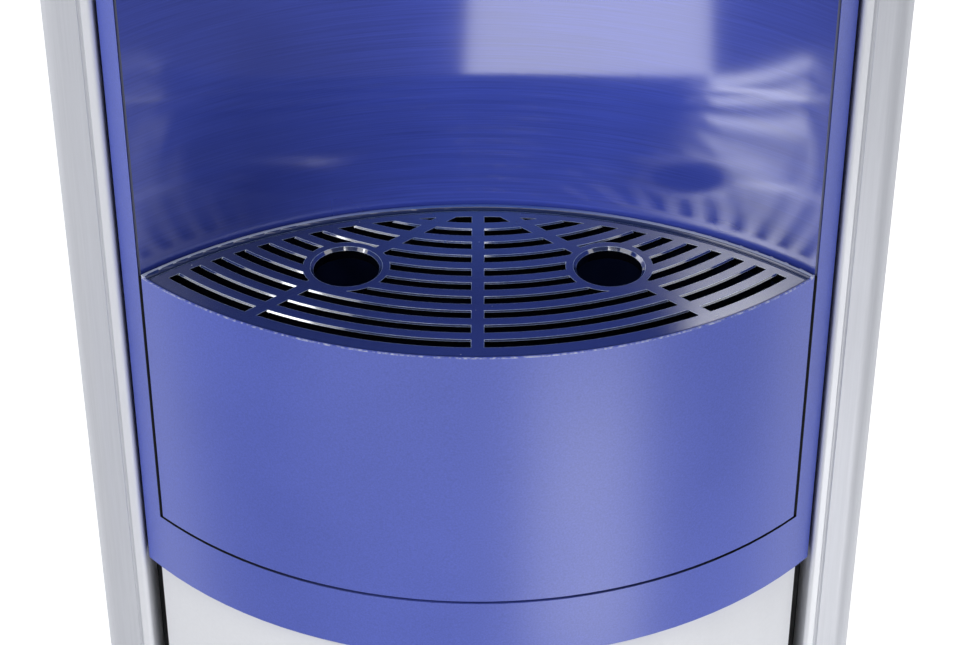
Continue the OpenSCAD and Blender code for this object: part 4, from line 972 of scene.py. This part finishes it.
def rocker_marks(node, body):
    """Raised ring on the flat half and a bar on the half that stands out"""
    joint = next(j for j in frame["joints"] if j["child"] == body)
    pivot = Vector(joint["pos_m"])
    middle_x = middle_of(node).x
    hole_r = MARK_RING_R - MARK_LINE
    ring = [(hole_r, 0.0), (MARK_RING_R, 0.0), (MARK_RING_R, MARK_T), (hole_r, MARK_T)]
    ring_place = (middle_x, pivot.y + ROCKER_FACE, pivot.z + MARK_RISE)
    bm = bmesh.new()
    lathe(bm, ring, facing_back(ring_place), MARK_SEGMENTS, closed=True)
    before = set(bm.verts)
    bar_size = (2 * MARK_LINE, MARK_T, 2 * MARK_RING_R)
    rounded_box(bm, (0, ROCKER_FACE + MARK_T / 2, -MARK_RISE), bar_size, MARK_ROUND)
    to_face = Matrix.Translation((0, ROCKER_FACE, 0))
    from_face = Matrix.Translation((0, -ROCKER_FACE, 0))
    tilt = to_face @ Matrix.Rotation(ROCKER_TILT, 4, "X") @ from_face
    place = Matrix.Translation((middle_x, pivot.y, pivot.z)) @ tilt
    for vert in set(bm.verts) - before:
        vert.co = place @ vert.co
    add_piece(f"{node}_marks", bm, "white_plastic", body)


rear_screws()
drain_cap()
compressor_fittings()
brazed_joints()
tray_strips()
tap_seal("hot_seal", "hot_tap_seal")
tap_seal("cold_seal", "cold_tap_seal")
rocker_marks("heat_rocker", "heat_rocker")
rocker_marks("cool_rocker", "cool_rocker")


# Camera of the photograph

CAMERA_PLACE = (0.0028, -0.9563, 1.1289)
CAMERA_PITCH = 35.1
CAMERA_LENS = 96.61
CAMERA_SENSOR = 36.0

camera_data = bpy.data.cameras.new("camera")
camera_data.lens = CAMERA_LENS
camera_data.sensor_width = CAMERA_SENSOR
camera = bpy.data.objects.new("camera", camera_data)
camera.location = CAMERA_PLACE
camera.rotation_euler = (math.radians(90 - CAMERA_PITCH), 0.0, 0.0)
bpy.context.collection.objects.link(camera)
bpy.context.scene.camera = camera


# Light

SOFTBOXES = {
    "left_box": dict(
        place=(-0.93, -0.695, 1.24), target=(0.1, -0.1, 0.56), width=0.44, height=0.62, radiance=5.6
    ),
    "low_box": dict(
        place=(-0.32, -0.9, 0.14), target=(0.0, -0.07, 0.66), width=0.74, height=0.3, radiance=1.15
    ),
    "front_box": dict(
        place=(0.28, -0.6, 0.085), target=(0.035, -0.165, 0.5), width=0.32, height=0.22, radiance=5.6
    ),
    "right_box": dict(
        place=(1.2, -0.12, 0.45), target=(0.1, -0.14, 0.5), width=0.6, height=0.72, radiance=0.9
    ),
    "high_box": dict(
        place=(-0.15, -0.75, 1.95), target=(0.0, -0.1, 0.56), width=0.6, height=0.35, radiance=3.8
    ),
    "rear_box": dict(
        place=(0.6, 1.6, 1.6), target=(0.0, 0.1, 0.5), width=1.2, height=1.2, radiance=2.0
    ),
}


def softbox(name, place, target, width, height, radiance):
    """Area light that faces a point"""
    data = bpy.data.lights.new(name, "AREA")
    data.shape = "RECTANGLE"
    data.size = width
    data.size_y = height
    data.energy = radiance * math.pi * width * height
    lamp = bpy.data.objects.new(name, data)
    lamp.location = place
    lamp.rotation_euler = (Vector(target) - Vector(place)).to_track_quat("-Z", "Y").to_euler()
    lamp.visible_camera = False
    bpy.context.collection.objects.link(lamp)


for box_name, box in SOFTBOXES.items():
    softbox(box_name, **box)


ROOM_COLOR = (0.93, 0.95, 1.0, 1.0)
ROOM_LIGHT = 0.5
BACKDROP_COLOR = (1.0, 1.0, 1.0, 1.0)
BACKDROP_LIGHT = 1.0


def seen_directly(tree):
    """One for rays from the camera, from a mirror or through glass, nought for scattered light"""
    path = tree.nodes.new("ShaderNodeLightPath")
    mirrored = math_node(tree, "MAXIMUM", path.outputs["Is Camera Ray"], path.outputs["Is Glossy Ray"])
    return math_node(tree, "MAXIMUM", mirrored, path.outputs["Is Transmission Ray"])


def build_world():
    """White where it is seen, a soft grey room for its light"""
    world = bpy.data.worlds.new("studio")
    world.use_nodes = True
    tree = world.node_tree
    room = tree.nodes["Background"]
    room.inputs["Color"].default_value = ROOM_COLOR
    room.inputs["Strength"].default_value = ROOM_LIGHT
    backdrop = tree.nodes.new("ShaderNodeBackground")
    backdrop.inputs["Color"].default_value = BACKDROP_COLOR
    backdrop.inputs["Strength"].default_value = BACKDROP_LIGHT
    mixer = tree.nodes.new("ShaderNodeMixShader")
    tree.links.new(seen_directly(tree), mixer.inputs["Fac"])
    tree.links.new(room.outputs["Background"], mixer.inputs[1])
    tree.links.new(backdrop.outputs["Background"], mixer.inputs[2])
    tree.links.new(mixer.outputs["Shader"], tree.nodes["World Output"].inputs["Surface"])
    bpy.context.scene.world = world


build_world()


# Floor, and the dark side of the studio behind the camera, which only mirrors show

PAPER_ROUGH = 0.9
FLOOR_HALF = 6.0
FLOOR_GLOW = 0.58
FLOOR_COLOR = (0.88, 0.88, 0.88)
CARD_COLOR = (0.05, 0.05, 0.055)
CARD_ENDS = (-2.2, 5.2)
CARD_NEAR = -0.2
CARD_FAR = -2.4
CARD_LOW = 1 * MM
CARD_HIGH = 6.0


def stage_sheet(name, corners, material):
    """Flat sheet that isn't part of the object"""
    mesh = bpy.data.meshes.new(name)
    mesh.from_pydata(corners, [], [tuple(range(len(corners)))])
    mesh.materials.append(material)
    sheet = bpy.data.objects.new(name, mesh)
    bpy.context.collection.objects.link(sheet)
    return sheet


def floor_paper():
    """Pale paper that glows where it is seen, up to white, and keeps the object's shadow"""
    material, tree, surface = new_material("floor_paper", FLOOR_COLOR, PAPER_ROUGH)
    glow = tree.nodes.new("ShaderNodeEmission")
    tree.links.new(math_node(tree, "MULTIPLY", seen_directly(tree), FLOOR_GLOW), glow.inputs["Color"])
    total = tree.nodes.new("ShaderNodeAddShader")
    tree.links.new(surface.outputs["BSDF"], total.inputs[0])
    tree.links.new(glow.outputs["Emission"], total.inputs[1])
    tree.links.new(total.outputs["Shader"], tree.nodes["Material Output"].inputs["Surface"])
    return material


def build_floor():
    """Wide square of paper under the object"""
    signs = ((-1, -1), (1, -1), (1, 1), (-1, 1))
    corners = [(x * FLOOR_HALF, y * FLOOR_HALF, 0.0) for x, y in signs]
    stage_sheet("floor", corners, floor_paper())


def build_dark_side():
    """One card that lies on the floor and one that stands behind the camera"""
    material = plain("card", CARD_COLOR, PAPER_ROUGH)
    left, right = CARD_ENDS
    far_side = [(left, CARD_FAR, CARD_LOW), (right, CARD_FAR, CARD_LOW)]
    level = far_side + [(right, CARD_NEAR, CARD_LOW), (left, CARD_NEAR, CARD_LOW)]
    upright = far_side + [(right, CARD_FAR, CARD_HIGH), (left, CARD_FAR, CARD_HIGH)]
    for name, corners in (("dark_card", level), ("dark_wall", upright)):
        card = stage_sheet(name, corners, material)
        card.visible_camera = False
        card.visible_diffuse = False
        card.visible_shadow = False


build_floor()
build_dark_side()

bpy.context.scene.view_settings.view_transform = "Standard"
